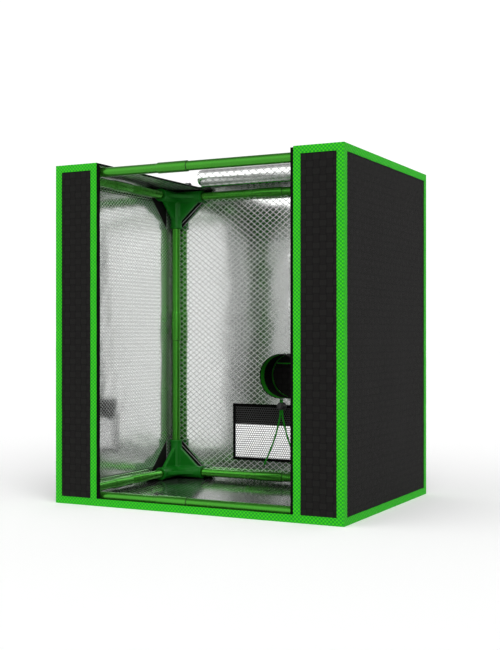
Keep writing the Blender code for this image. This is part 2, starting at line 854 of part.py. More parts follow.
def net_mesh(across, upward):
    """Crossing strands in one plane: every cell of a ruled grid but the gaps."""
    mesh = bpy.data.meshes.new("vent_net")
    shape = bmesh.new()
    corners = [[shape.verts.new((x, 0, z)) for z in upward] for x in across]
    for i in range(len(across) - 1):
        for j in range(len(upward) - 1):
            if i % 2 and j % 2:
                continue
            shape.faces.new(
                (corners[i][j], corners[i + 1][j], corners[i + 1][j + 1], corners[i][j + 1])
            )
    shape.to_mesh(mesh)
    shape.free()
    return mesh


def strand_lines(length, gaps):
    """Both edges of every strand along one side, from the outer strands inwards."""
    pitch = (length - NET_STRAND) / gaps
    lines = []
    for i in range(gaps + 1):
        lines += [i * pitch - length / 2, i * pitch + NET_STRAND - length / 2]
    return lines


def make_net(inner_face, net_face):
    width = VENT_WIDTH - VENT_BAND
    height = VENT_HEIGHT - VENT_BAND
    mesh = net_mesh(strand_lines(width, NET_COLUMNS), strand_lines(height, NET_ROWS))
    middle = (0, (inner_face + net_face) / 2, VENT_BASE + VENT_HEIGHT / 2)
    net = add_object("vent_net", mesh, "net", middle)
    thickness = net.modifiers.new("thickness", "SOLIDIFY")
    thickness.thickness = NET_THICKNESS
    thickness.offset = 0


def make_flap():
    """The outer flap, folded double over the top of the window. Its origin is on its top seam."""
    back = DEPTH / 2 - SKIN + CLEARANCE
    top = VENT_BASE + VENT_HEIGHT + FLAP_ABOVE_VENT
    bend = FLAP_FOLD_GAP / 2
    around = bend + FLAP_THICKNESS
    # a hairpin section, drawn with its seam end at the origin and hanging along -Y
    fold = -(FLAP_DROP - around)
    outer = [(0, 0), (0, fold)]
    inner = [(FLAP_THICKNESS, 0), (FLAP_THICKNESS, fold)]
    for step in range(1, FLAP_FOLD_STEPS):
        angle = math.pi * step / FLAP_FOLD_STEPS
        outer.append((around - around * math.cos(angle), fold - around * math.sin(angle)))
        inner.append((around - bend * math.cos(angle), fold - bend * math.sin(angle)))
    tail = -2 * FLAP_THICKNESS
    outer += [(2 * around, fold), (2 * around, tail)]
    inner += [(2 * around - FLAP_THICKNESS, fold), (2 * around - FLAP_THICKNESS, tail)]
    width = VENT_WIDTH + 2 * FLAP_SIDE_MARGIN
    across = Matrix(((0, 0, 1), (1, 0, 0), (0, 1, 0)))
    flap = flat_outline("vent_flap", outer + inner[::-1], width, "oxford", across, (0, back, top))
    shade(flap)


# Drawcord and lock


def cord_line():
    """Depth of the cord's line, and the height of the sleeve's underside."""
    return sock_mouth() + CORD_FROM_MOUTH, PORT_HEIGHT - SOCK_DIAMETER / 2


def lock_middle():
    y, underside = cord_line()
    return y, underside - CORD_TO_LOCK - LOCK_DIAMETER / 2


def cord_route(sign):
    y, underside = cord_line()
    _, lock_z = lock_middle()
    x = sign * CORD_SPACING / 2
    leave = lock_z - LOCK_DIAMETER / 2 - CLEARANCE
    points = [(x, y, underside - CLEARANCE), (x, y, lock_z + LOCK_DIAMETER / 2), (x, y, lock_z)]
    for drop, spread in TAIL_SHARES:
        points.append((x + sign * CORD_TAIL_SPREAD * spread, y, leave - CORD_TAIL_DROP * drop))
    return points


def make_cords():
    for sign, name in ((-1, "left"), (1, "right")):
        route = smooth_route(cord_route(sign), CORD_POINTS)
        tube(name + "_drawcord", route, CORD_DIAMETER, "cord")


def make_lock():
    y, z = lock_middle()
    face = y - LOCK_CORD_PLACE
    radius = LOCK_DIAMETER / 2
    hole = PLUNGER_DIAMETER / 2 + CLEARANCE
    edge = LOCK_EDGE
    depth = LOCK_LENGTH - LOCK_FLOOR
    barrel = [
        (hole, 0),
        (radius - edge, 0),
        (radius, -edge),
        (radius, edge - LOCK_LENGTH),
        (radius - edge, -LOCK_LENGTH),
        (0, -LOCK_LENGTH),
    ]
    inside = [(hole, 0), (hole, -depth), (0, -depth)]
    profile = inside[::-1][:-1] + barrel
    body = turned("cord_lock_barrel", profile, LOCK_SIDES, "lock")
    lay_pole(body, (0, face, z), (0, -1, 0))
    slot_x = CORD_SPACING / 2 + CORD_DIAMETER / 2 + CLEARANCE
    slot_y = CORD_DIAMETER / 2 + CLEARANCE
    body_slot = box(
        "barrel_slot",
        (-slot_x, y - slot_y, z - LOCK_DIAMETER),
        (slot_x, y + slot_y, z + LOCK_DIAMETER),
    )
    combine(body, body_slot)
    small = PLUNGER_DIAMETER / 2
    plunger = [
        (0, PLUNGER_PROUD),
        (small - PLUNGER_EDGE, PLUNGER_PROUD),
        (small, PLUNGER_PROUD - PLUNGER_EDGE),
        (small, -PLUNGER_INNER_LENGTH),
        (0, -PLUNGER_INNER_LENGTH),
    ]
    button = turned("cord_lock_plunger", plunger, LOCK_SIDES, "lock")
    lay_pole(button, (0, face, z), (0, -1, 0))
    # the plunger's slot is longer by its travel, so the cords pass it pressed or not
    button_slot = box(
        "plunger_slot",
        (-slot_x, y - slot_y - PLUNGER_TRAVEL, z - LOCK_DIAMETER),
        (slot_x, y + slot_y, z + LOCK_DIAMETER),
    )
    combine(button, button_slot)


def centre_on_origin():
    """The folded flap stands proud of the back, so everything moves forward by half of that."""
    proud = 2 * (FLAP_FOLD_GAP / 2 + FLAP_THICKNESS) + CLEARANCE - SKIN
    for piece in list(tent.objects) + list(cutters.objects):
        piece.location.y -= proud / 2


door = door_cutter()
make_panels(door)
make_binding(door)
make_tapes()
make_patches()
make_connectors()
make_poles()
make_door_roll()
make_sliders()
make_sock()
make_port_cover()
make_vent()
make_flap()
make_cords()
make_lock()
centre_on_origin()
print(len(tent.objects), "pieces")
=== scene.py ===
# Indoor grow tent: the cloth, lining, tubes and fittings as they look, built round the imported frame.
import math

import bmesh
import bpy
import numpy as np
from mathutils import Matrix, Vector


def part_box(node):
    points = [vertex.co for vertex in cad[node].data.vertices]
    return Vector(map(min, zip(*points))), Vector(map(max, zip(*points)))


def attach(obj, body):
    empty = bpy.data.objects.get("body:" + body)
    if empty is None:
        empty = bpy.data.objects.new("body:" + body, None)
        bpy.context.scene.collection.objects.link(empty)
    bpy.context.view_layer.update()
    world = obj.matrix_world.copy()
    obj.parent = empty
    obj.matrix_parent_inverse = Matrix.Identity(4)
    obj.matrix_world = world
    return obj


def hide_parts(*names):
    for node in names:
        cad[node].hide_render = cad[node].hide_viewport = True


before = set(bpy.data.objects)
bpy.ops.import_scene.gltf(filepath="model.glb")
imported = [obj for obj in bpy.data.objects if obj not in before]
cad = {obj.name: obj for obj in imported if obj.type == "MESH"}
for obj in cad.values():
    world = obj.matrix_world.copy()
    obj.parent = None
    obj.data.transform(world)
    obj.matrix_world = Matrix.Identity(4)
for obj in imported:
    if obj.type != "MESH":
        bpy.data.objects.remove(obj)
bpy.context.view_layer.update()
print("frame loaded:", len(cad), "parts")


# Small tools for shaders: every pattern is worked out in metres from the flat map


class Nodes:
    def __init__(self, tree):
        self.tree = tree

    def put(self, socket, value):
        if isinstance(value, bpy.types.NodeSocket):
            self.tree.links.new(value, socket)
        elif isinstance(value, tuple) and len(value) == 3 and socket.type == "RGBA":
            socket.default_value = (*value, 1)
        else:
            socket.default_value = value

    def node(self, kind, **settings):
        made = self.tree.nodes.new(kind)
        for key, value in settings.items():
            setattr(made, key, value)
        return made

    def sum(self, operation, first, second=0.0):
        made = self.node("ShaderNodeMath", operation=operation)
        for socket, value in zip(made.inputs, (first, second)):
            self.put(socket, value)
        return made.outputs[0]

    def times(self, first, second):
        return self.sum("MULTIPLY", first, second)

    def split(self, socket):
        made = self.node("ShaderNodeSeparateXYZ")
        self.put(made.inputs[0], socket)
        return made.outputs

    def ramp(self, value, low, high, toLow=0.0, toHigh=1.0, shape="SMOOTHSTEP"):
        made = self.node("ShaderNodeMapRange", interpolation_type=shape)
        for socket, number in zip(made.inputs, (value, low, high, toLow, toHigh)):
            self.put(socket, number)
        return made.outputs[0]


class Shader(Nodes):
    def __init__(self, name):
        self.material = bpy.data.materials.new(name)
        self.material.use_nodes = True
        super().__init__(self.material.node_tree)
        self.main = self.tree.nodes["Principled BSDF"]
        self.flatMap = None

    def flat(self):
        if self.flatMap is None:
            source = self.node("ShaderNodeUVMap", uv_map="flat").outputs[0]
            self.flatMap = (*self.split(source)[:2], source)
        return self.flatMap

    def mix(self, share, first, second):
        made = self.node("ShaderNodeMix", data_type="RGBA")
        for socket, value in ((made.inputs[0], share), (made.inputs[6], first), (made.inputs[7], second)):
            self.put(socket, value)
        return made.outputs[2]

    def noise(self, scale, detail=2.0):
        made = self.node("ShaderNodeTexNoise")
        self.put(made.inputs["Vector"], self.flat()[2])
        made.inputs["Scale"].default_value = scale
        made.inputs["Detail"].default_value = detail
        return made.outputs[0]

    def bump(self, height, distance, strength=1.0, below=None):
        made = self.node("ShaderNodeBump")
        made.inputs["Strength"].default_value = strength
        made.inputs["Distance"].default_value = distance
        self.put(made.inputs["Height"], height)
        if below is not None:
            self.put(made.inputs["Normal"], below)
        return made.outputs[0]

    def finish(self, color, rough, normal=None, metal=0.0, shine=0.5):
        values = {"Base Color": color, "Roughness": rough, "Metallic": metal, "Specular IOR Level": shine}
        for name, value in values.items():
            self.put(self.main.inputs[name], value)
        if normal:
            self.put(self.main.inputs["Normal"], normal)
        return self.material

    # a sine or cosine that turns through "pace" radians to the metre
    def wave(self, kind, value, pace):
        return self.sum(kind, self.times(value, pace))

    # a plain weave: threads one over, one under, "pitch" metres apart
    def weave(self, pitchU, pitchV):
        u, v, _ = self.flat()
        acrossU = self.wave("SINE", u, math.pi / pitchU)
        acrossV = self.wave("SINE", v, math.pi / pitchV)
        over = self.ramp(self.times(acrossU, acrossV), -0.15, 0.15)
        upper = self.times(over, self.sum("ABSOLUTE", acrossU))
        lower = self.times(self.sum("SUBTRACT", 1.0, over), self.sum("ABSOLUTE", acrossV))
        return self.sum("ADD", upper, lower), over

    # how far a point is from the nearest line of a slanted grid, 0 on a line and 0.5 between two
    def slanted(self, wide, tall, sign):
        u, v, _ = self.flat()
        along = self.sum("ADD", self.sum("DIVIDE", u, wide), self.times(v, sign / tall))
        return self.sum("ABSOLUTE", self.sum("SUBTRACT", self.sum("FRACT", along), 0.5))


# Camera and light

camera = {
    "place": (1.401, -2.7154, 0.45),
    "turn": 27.1,  # degrees round from square on
    "lens": 61.53,
    "shiftUp": 0.0143,
}
lights = {
    "walls": 1.07,  # light from the studio's walls
    "ceiling": 0.26,  # and from its darker ceiling
    "ceilingFrom": (0.60, 0.86),
    "back": 0.55,  # share that the wall behind loses above the camera's view
    "backFrom": (0.32, 0.48),
    "suns": {
        "key": {"from": (2.3, -2.9, 2.9), "strength": 1.18, "spread": 48},
        "fill": {"from": (-2.4, -2.6, 1.5), "strength": 0.35, "spread": 60},
        "top": {"from": (0.2, -0.3, 2.0), "strength": 0.62, "spread": 46},
    },
}


def setCamera():
    data = bpy.data.cameras.new("camera")
    data.sensor_width = 36
    data.lens = camera["lens"]
    data.shift_y = camera["shiftUp"]
    view = bpy.data.objects.new("camera", data)
    view.location = camera["place"]
    view.rotation_euler = (math.radians(90), 0, math.radians(camera["turn"]))
    bpy.context.scene.collection.objects.link(view)
    bpy.context.scene.camera = view


def setLights():
    world = bpy.data.worlds.new("studio")
    bpy.context.scene.world = world
    world.use_nodes = True
    w = Nodes(world.node_tree)
    _, back, up = w.split(w.node("ShaderNodeTexCoord").outputs["Generated"])
    walls = w.ramp(up, *lights["ceilingFrom"], lights["walls"], lights["ceiling"], "LINEAR")
    above = w.ramp(up, *lights["backFrom"], 0.0, lights["back"], "LINEAR")
    dimmed = w.times(w.ramp(back, 0.0, 0.4, shape="LINEAR"), above)
    surface = w.tree.nodes["Background"]
    w.put(surface.inputs["Strength"], w.times(walls, w.sum("SUBTRACT", 1.0, dimmed)))
    w.put(surface.inputs["Color"], (1, 1, 1))
    for name, spec in lights["suns"].items():
        data = bpy.data.lights.new(name, "SUN")
        data.energy = spec["strength"]
        data.angle = math.radians(spec["spread"])
        lamp = bpy.data.objects.new(name, data)
        lamp.location = spec["from"]
        lamp.rotation_euler = (-lamp.location).to_track_quat("-Z", "Y").to_euler()
        bpy.context.scene.collection.objects.link(lamp)
    bpy.context.scene.view_settings.view_transform = "Standard"


setCamera()
setLights()


cloth = {
    "black": (0.0060, 0.0054, 0.0051),
    "over": (0.0080, 0.0078, 0.0071),
    "gap": (0.0012, 0.0012, 0.0012),
    "thread": 0.0011,  # metres between threads
    "band": 0.0176,  # the threads run in broad bands, over and under each other
    "roughness": 0.82,
}


def blackCloth():
    s = Shader("blackCloth")
    u, v, _ = s.flat()
    height, over = s.weave(cloth["thread"], cloth["thread"])
    bands, bandOver = s.weave(cloth["band"], cloth["band"])
    across = s.sum("ABSOLUTE", s.wave("SINE", u, math.pi / cloth["band"]))
    along = s.sum("ABSOLUTE", s.wave("SINE", v, math.pi / cloth["band"]))
    # a band that lies on top hides its crossing, so each cell is edged on two sides only
    edge = s.sum("ADD", s.times(bandOver, along), s.times(s.sum("SUBTRACT", 1.0, bandOver), across))
    seam = s.ramp(edge, 0.08, 0.60, 0.85, 0.0)
    hole = s.ramp(s.sum("MAXIMUM", across, along), 0.18, 0.42, 1.0, 0.0)
    tone = s.mix(bandOver, cloth["black"], cloth["over"])
    tone = s.mix(s.sum("MAXIMUM", seam, hole), tone, cloth["gap"])
    rub = s.times(s.ramp(s.noise(6.0, 5.0), 0.45, 0.75), 0.15)
    tone = s.mix(rub, tone, cloth["over"])
    pulled = s.bump(bands, 0.00035, 0.7, s.bump(s.noise(9.0, 2.0), 0.0005))
    return s.finish(
        s.mix(s.times(over, 0.25), tone, cloth["over"]), s.ramp(height, 0, 1, 0.95, cloth["roughness"]),
        normal=s.bump(height, 0.00028, 0.8, pulled), shine=0.14,
    )


tape = {
    "green": (0.0085, 0.372, 0.0048),
    "lime": (0.0450, 0.514, 0.0013),
    "deep": (0.0045, 0.228, 0.0155),
    "spot": (0.0098, 0.0094),  # metres between the woven spots, which stand in offset rows
}


def greenTape(name="greenTape", dim=1.0):
    s = Shader(name)
    u, v, _ = s.flat()
    across = s.wave("COSINE", u, 2 * math.pi / tape["spot"][0])
    along = s.wave("COSINE", v, 2 * math.pi / tape["spot"][1])
    spots = s.times(across, along)
    green, lime, deep = [tuple(part * dim for part in tape[key]) for key in ("green", "lime", "deep")]
    base = s.mix(s.ramp(spots, 0.05, 0.45), green, lime)
    base = s.mix(s.ramp(spots, -0.05, -0.45, 0.0, 0.95), base, deep)
    dirt = s.ramp(s.noise(30.0, 4.0), 0.45, 0.8, 0.0, 0.22)
    height, _ = s.weave(0.0011, 0.0011)
    return s.finish(
        s.mix(dirt, base, deep), 0.78, normal=s.bump(spots, 0.00016, 0.7, s.bump(height, 0.00015)), shine=0.2,
    )


film = {
    "silver": (0.965, 0.972, 0.965),
    "line": (0.40, 0.41, 0.40),
    "wide": 0.0213,  # one diamond across
    "tall": 0.0171,
    "lineShare": 0.074,
    "gloss": 0.10,
    "wrinkle": 0.0016,
    "rows": 0.0,  # shade of the pressed rows
    "corner": 0.0,  # black cloth where this far from the wall's middle, across and up together
    "inner": 0.5,  # but not further across than this, where the corner's seam covers it
    "seams": (),  # hem seams, this far above and below the wall's middle
}


def liningFilm(name="liningFilm", **changes):
    look = {**film, **changes}
    s = Shader(name)
    u, v, _ = s.flat()
    fall = s.slanted(look["wide"], look["tall"], 1.0)
    rise = s.slanted(look["wide"], look["tall"], -1.0)
    near = s.sum("MAXIMUM", fall, rise)
    line = s.ramp(near, 0.5 - look["lineShare"], 0.5 - look["lineShare"] * 0.5)
    tone = s.mix(line, look["silver"], look["line"])
    metal = s.ramp(line, 0, 1, 1.0, 0.1)
    haze = s.ramp(s.noise(7.0, 4.0), 0.3, 0.75, look["gloss"], look["gloss"] + 0.05)
    rough = s.sum("ADD", haze, s.times(line, 0.42))
    if look["rows"]:
        row = s.wave("COSINE", v, 2 * math.pi / look["tall"])
        tone = s.mix(s.ramp(row, -1, 1, 0, look["rows"]), tone, look["line"])
    level = s.sum("ABSOLUTE", s.sum("SUBTRACT", v, 0.45))
    for seam in look["seams"]:
        near = s.sum("ABSOLUTE", s.sum("SUBTRACT", level, seam))
        tone = s.mix(s.ramp(near, 0.0017, 0.0006), tone, (0.05, 0.06, 0.05))
    if look["corner"]:
        far = s.sum("ADD", s.sum("ABSOLUTE", u), level)
        inner = s.ramp(s.sum("ABSOLUTE", u), look["inner"] + 0.006, look["inner"] - 0.004)
        patch = s.times(s.ramp(far, look["corner"], look["corner"] + 0.0015), inner)
        tone = s.mix(patch, tone, cloth["black"])
        metal = s.times(metal, s.sum("SUBTRACT", 1.0, patch))
        rough = s.sum("MAXIMUM", rough, s.times(patch, cloth["roughness"]))
    slow = s.bump(s.noise(3.2, 0.0), look["wrinkle"])
    quick = s.bump(s.noise(13.0, 0.0), look["wrinkle"] * 0.04, 1.0, slow)
    shine = 0.2 if look["corner"] else 0.5
    return s.finish(tone, rough, s.bump(line, 0.00008, 1.0, quick), metal, shine)


def tapeCloth():
    s = Shader("tapeCloth")
    height, over = s.weave(0.0009, 0.0014)
    return s.finish(
        s.mix(over, (0.0014, 0.0013, 0.0014), (0.0028, 0.0026, 0.0028)),
        s.ramp(s.noise(60.0), 0.3, 0.7, 0.75, 0.9), normal=s.bump(height, 0.00025), shine=0.06,
    )


paint = {"green": (0.047, 0.258, 0.022), "scuff": (0.036, 0.205, 0.017), "metallic": 0.80, "roughness": 0.24}


def polePaint():
    s = Shader("polePaint")
    scuff = s.ramp(s.noise(5.0, 1.0), 0.45, 0.75, 0.0, 0.25)
    smudge = s.ramp(s.noise(12.0, 3.0), 0.3, 0.8, paint["roughness"], paint["roughness"] + 0.06)
    return s.finish(
        s.mix(scuff, paint["green"], paint["scuff"]), smudge, normal=s.bump(s.noise(30.0, 0.0), 0.00001, 0.3),
        metal=paint["metallic"], shine=0.3,
    )


plastic = {"green": (0.0020, 0.1450, 0.0048), "high": (0.0032, 0.1650, 0.0070), "roughness": 0.36}


def mouldedGreen():
    s = Shader("mouldedGreen")
    flow = s.ramp(s.noise(16.0, 4.0), 0.35, 0.75)
    return s.finish(
        s.mix(flow, plastic["green"], plastic["high"]),
        s.ramp(s.noise(45.0, 3.0), 0.3, 0.8, plastic["roughness"], 0.46),
        normal=s.bump(s.noise(900.0, 2.0), 0.00006, 0.6), shine=0.24,
    )


# hard finishes: the scale and detail of a noise, and the two values that it runs between
hard = {
    # painted shade: a near-black green ring at each swaged mouth and joint seam, standing for the seam's shadow line
    "seamShadeLip": {
        "tone": (300.0, 3.0, (0.004, 0.012, 0.003), (0.012, 0.030, 0.008)),
        "rough": (200.0, 2.0, 0.7, 0.4, 0.6),
        "metallic": 0.6,
    },
    "mouldedBlack": {
        "tone": (60.0, 3.0, (0.008, 0.008, 0.009), (0.016, 0.016, 0.017)),
        "rough": (200.0, 3.0, 0.8, 0.38, 0.58),
        "grain": (1400.0, 0.00005, 0.7),
    },
    "paintedZinc": {
        "tone": (120.0, 4.0, (0.018, 0.018, 0.020), (0.050, 0.050, 0.052)),
        "rough": (260.0, 3.0, 0.8, 0.26, 0.48),
        "grain": (700.0, 0.00004, 0.6),
        "metallic": 0.85,
    },
}


def hardFinish(name):
    s = Shader(name)
    scale, detail, dark, light = hard[name]["tone"]
    tone = s.mix(s.noise(scale, detail), dark, light)
    scale, detail, top, low, high = hard[name]["rough"]
    rough = s.ramp(s.noise(scale, detail), 0.3, top, low, high)
    grain = None
    if "grain" in hard[name]:
        scale, deep, strength = hard[name]["grain"]
        grain = s.bump(s.noise(scale), deep, strength)
    return s.finish(tone, rough, grain, hard[name].get("metallic", 0.0))


def netThread():
    s = Shader("netThread")
    height, over = s.weave(0.0007, 0.0007)
    return s.finish(
        s.mix(over, (0.050, 0.050, 0.050), (0.090, 0.090, 0.090)), 0.75, normal=s.bump(height, 0.0002),
        shine=0.2,
    )


def braid():
    s = Shader("braid")
    left = s.slanted(0.0036, 0.0042, 1.0)
    right = s.slanted(0.0036, 0.0042, -1.0)
    strands = s.times(s.sum("SUBTRACT", 0.5, left), s.sum("SUBTRACT", 0.5, right))
    return s.finish(
        s.mix(s.ramp(strands, 0.0, 0.2), (0.004, 0.150, 0.004), (0.014, 0.400, 0.009)), 0.7,
        normal=s.bump(strands, 0.0009), shine=0.15,
    )


# black cloth with a silver piping just inside its free edge, measured from the patch's own corner
def patchCloth(name, legs):
    s = Shader(name)
    x, _, z = s.split(s.node("ShaderNodeTexCoord").outputs["Object"])
    total = s.sum("ADD", s.times(s.sum("ABSOLUTE", x), 1 / legs[0]), s.times(s.sum("ABSOLUTE", z), 1 / legs[2]))
    height, over = s.weave(0.0011, 0.0011)
    black = s.mix(over, (0.0040, 0.0040, 0.0038), (0.0072, 0.0072, 0.0068))
    silver = s.times(s.ramp(total, 0.968, 0.974), s.ramp(total, 0.988, 0.982))
    return s.finish(
        s.mix(silver, black, (0.75, 0.76, 0.75)), s.ramp(silver, 0, 1, 0.82, 0.35),
        normal=s.bump(height, 0.00025), metal=s.times(silver, 0.4), shine=0.15,
    )


blackMat = blackCloth()
greenMat = greenTape()
hemMat = greenTape("hemTape", 0.62)
filmMat = liningFilm()
backFilmMat = liningFilm("backFilm", tall=0.01637, corner=0.717)
sideFilmMat = liningFilm(
    "sideFilm", wide=0.01425, tall=0.0108, lineShare=0.085, line=(0.38, 0.39, 0.38), rows=0.22,
    corner=0.585, inner=0.257, seams=(0.4075, 0.4130),
)
rollFilmMat = liningFilm("rollFilm", wide=0.0245, tall=0.0190, gloss=0.20, wrinkle=0.0005, line=(0.24, 0.25, 0.24))
# the floor's film is the lining darkened all over, painted shade for the tent floor's dim look
floorShadeFilmMat = liningFilm("floorShadeFilm", silver=(0.34, 0.35, 0.34), gloss=0.07, lineShare=0.05, line=(0.11, 0.11, 0.11))
tapeMat = tapeCloth()
poleMat = polePaint()
seamShadeMat = hardFinish("seamShadeLip")
jointMat = mouldedGreen()
lockMat = hardFinish("mouldedBlack")
zincMat = hardFinish("paintedZinc")
netMat = netThread()
cordMat = braid()
print("finishes made")


# Small tools for shapes


def addPiece(name, mesh, materials, body, stands=(), place=(0, 0, 0)):
    piece = bpy.data.objects.new(name, mesh)
    bpy.context.scene.collection.objects.link(piece)
    kinds = np.empty(len(mesh.polygons), np.int32)
    mesh.polygons.foreach_get("material_index", kinds)
    mesh.materials.clear()
    for material in materials:
        mesh.materials.append(material)
    mesh.polygons.foreach_set("material_index", np.minimum(kinds, len(materials) - 1))
    piece.location = place
    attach(piece, body)
    if stands:
        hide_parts(*stands)
    return piece


def smooth(mesh, angle):
    mesh.shade_smooth()
    mesh.set_sharp_from_angle(angle=math.radians(angle))


def pointsOf(mesh):
    flat = np.empty(len(mesh.vertices) * 3, np.float32)
    mesh.vertices.foreach_get("co", flat)
    return flat.reshape(-1, 3).astype(float)


def setPoints(mesh, points):
    mesh.vertices.foreach_set("co", np.asarray(points, np.float32).ravel())
    mesh.update()


# a map in metres, laid square on to each face
def flatMap(mesh):
    for old in list(mesh.uv_layers):
        mesh.uv_layers.remove(old)
    normals = np.empty(len(mesh.polygons) * 3)
    mesh.polygons.foreach_get("normal", normals)
    totals = np.empty(len(mesh.polygons), int)
    mesh.polygons.foreach_get("loop_total", totals)
    corners = np.empty(len(mesh.loops), int)
    mesh.loops.foreach_get("vertex_index", corners)
    main = np.repeat(np.abs(normals.reshape(-1, 3)).argmax(1), totals)
    where = pointsOf(mesh)[corners]
    u = np.where(main == 0, where[:, 1], where[:, 0])
    v = np.where(main == 2, where[:, 1], where[:, 2])
    layer = mesh.uv_layers.new(name="flat")
    layer.data.foreach_set("uv", np.stack([u, v], 1).astype(np.float32).ravel())


# a mesh with its flat map and, if given, the number of each face's material
def flatMesh(name, points, faces, maps, kinds=None):
    mesh = bpy.data.meshes.new(name)
    mesh.from_pydata([tuple(point) for point in points], [], faces)
    if kinds:
        mesh.polygons.foreach_set("material_index", np.array(kinds, np.int32))
    mesh.uv_layers.new(name="flat").data.foreach_set("uv", np.array(maps, np.float32).ravel())
    mesh.update()
    return mesh


def keep(shape, mesh):
    shape.to_mesh(mesh)
    shape.free()
    mesh.update()
    return mesh


def faceOut(mesh):
    shape = bmesh.new()
    shape.from_mesh(mesh)
    bmesh.ops.recalc_face_normals(shape, faces=shape.faces)
    return keep(shape, mesh)


# a surface from rings of points: "endless" joins the last to the first, and otherwise both ends are closed
def loftMesh(name, rows, flats, endless=False, kinds=None):
    count, width = len(rows), len(rows[0])
    faces, maps = [], []
    for i in range(count if endless else count - 1):
        k = (i + 1) % count
        for j in range(width):
            m = (j + 1) % width
            faces.append((i * width + j, i * width + m, k * width + m, k * width + j))
            right = flats[i][m][0] if m else flats[i][j][0] + flats[i][1][0] - flats[i][0][0]
            upper = flats[k][j][1] if k else flats[i][j][1] + flats[1][0][1] - flats[0][0][1]
            maps += [flats[i][j], (right, flats[i][m][1]), (right, upper), (flats[i][j][0], upper)]
    if not endless:
        for row, turn in ((0, -1), (count - 1, 1)):
            ring = [row * width + j for j in range(width)][::turn]
            faces.append(ring)
            maps += [flats[row][n % width] for n in ring]
    return faceOut(flatMesh(name, [point for row in rows for point in row], faces, maps, kinds))


# the same, where "place" gives the point and the flat map of a ring at an angle
def ringMesh(name, count, sides, place, angle=38, **settings):
    pairs = [[place(n, 2 * math.pi * k / sides) for k in range(sides)] for n in range(count)]
    rows, flats = [[[pair[part] for pair in row] for row in pairs] for part in (0, 1)]
    mesh = loftMesh(name, rows, flats, **settings)
    smooth(mesh, angle)
    return mesh


# how far along a line each of its points lies
def runsOf(points):
    runs = [0.0]
    for a, b in zip(points, points[1:]):
        runs.append(runs[-1] + math.dist(a, b))
    return runs


# waves that cross at set directions, about +-1 high
def ripple(u, v, seed, wave):
    picks = np.random.RandomState(seed)
    total = np.zeros_like(u)
    for _ in range(8):
        turn, size, shift = picks.uniform(0, math.pi), picks.uniform(0.6, 1.9), picks.uniform(0, 6.28)
        total += np.sin(2 * math.pi / (wave * size) * (u * math.cos(turn) + v * math.sin(turn)) + shift)
    return total / 3.2


def ease(distance, reach):
    share = np.clip(distance / reach, 0, 1)
    return share * share * (3 - 2 * share)


# a CAD part's copy, and its shape with the flat faces made whole
def wholeShape(node, angle):
    mesh = cad[node].data.copy()
    shape = bmesh.new()
    shape.from_mesh(mesh)
    bmesh.ops.remove_doubles(shape, verts=shape.verts, dist=0.00002)
    bmesh.ops.dissolve_limit(
        shape, angle_limit=math.radians(angle), use_dissolve_boundaries=False, verts=shape.verts, edges=shape.edges
    )
    return mesh, shape


# a CAD part cut into small faces, so that "bend" can make it sag and pucker
def bentCopy(node, spacing, bend, axes=(0, 1, 2), angle=40):
    mesh, shape = wholeShape(node, 1)
    low, high = np.array(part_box(node))
    for axis in axes:
        span = high[axis] - low[axis]
        count = int(span / spacing)
        normal = Vector(float(n == axis) for n in range(3))
        for step in range(1, count):
            whole = list(shape.verts) + list(shape.edges) + list(shape.faces)
            place = normal * (low[axis] + span * step / count)
            bmesh.ops.bisect_plane(shape, geom=whole, plane_co=place, plane_no=normal, dist=1e-6)
    keep(shape, mesh)
    setPoints(mesh, bend(pointsOf(mesh), low, high))
    flatMap(mesh)
    smooth(mesh, angle)
    return mesh


# the second material goes on every face that looks this way
def paintSide(mesh, direction, index=1):
    normals = np.empty(len(mesh.polygons) * 3)
    mesh.polygons.foreach_get("normal", normals)
    facing = normals.reshape(-1, 3) @ np.array(direction, float) > 0.7
    mesh.polygons.foreach_set("material_index", np.where(facing, index, 0).astype(np.int32))


def areaOf(mesh):
    return sum(face.area for face in mesh.polygons) / 2


# Shell: five walls, floor and roof strips, black outside and silver inside

panels = {
    "left_panel": {"out": (-1, 0, 0), "seed": 11, "sag": 0.0006, "pucker": 0.00012},
    "right_panel": {"out": (1, 0, 0), "seed": 12, "sag": 0.0006, "pucker": 0.00012},
    "back_panel": {"out": (0, 1, 0), "seed": 13, "sag": 0.0004, "pucker": 0.00008},
    "front_panel": {"out": (0, -1, 0), "seed": 14, "sag": 0.0005, "pucker": 0.0002},
    "roof_panel": {"out": (0, 0, 1), "seed": 15, "sag": 0.0005, "pucker": 0.0002},
    "floor_panel": {"out": (0, 0, -1), "seed": 16, "sag": 0.0, "pucker": 0.0},
}
insides = {
    "left_panel": sideFilmMat,
    "right_panel": sideFilmMat,
    "back_panel": backFilmMat,
    "floor_panel": floorShadeFilmMat,
}
# the cloth sags in long waves away from its seams, and puckers in short ones just inside them
panelWaves = {
    "cell": 0.009,
    "sag": 0.34,
    "sagFrom": 0.045,
    "sagReach": 0.12,
    "pucker": 0.045,
    "puckerFrom": 0.022,
    "puckerReach": 0.03,
}


def makePanels():
    for node, spec in panels.items():
        out = np.array(spec["out"], float)
        wide = [n for n in range(3) if not out[n]]

        def bend(points, low, high):
            inset = np.minimum(points - low, high - points)[:, wide].min(1)
            if node in ("front_panel", "roof_panel"):
                inset = np.minimum(inset, np.abs(np.abs(points[:, 0]) - shell["doorEdge"]))
            if node == "back_panel":
                inset = np.minimum(inset, backClear(points))
            u, v = points[:, wide].T
            push = 0
            for kind, seed in (("sag", spec["seed"]), ("pucker", spec["seed"] + 50)):
                share = ease(inset - panelWaves[kind + "From"], panelWaves[kind + "Reach"])
                push = push + spec[kind] * ripple(u, v, seed, panelWaves[kind]) * share
            return points + push[:, None] * out

        mesh = bentCopy(node, panelWaves["cell"], bend, wide, 50)
        paintSide(mesh, -out)
        inside = insides.get(node, filmMat)
        piece = addPiece("skin_" + node, mesh, [blackMat, inside], "tent", [node])


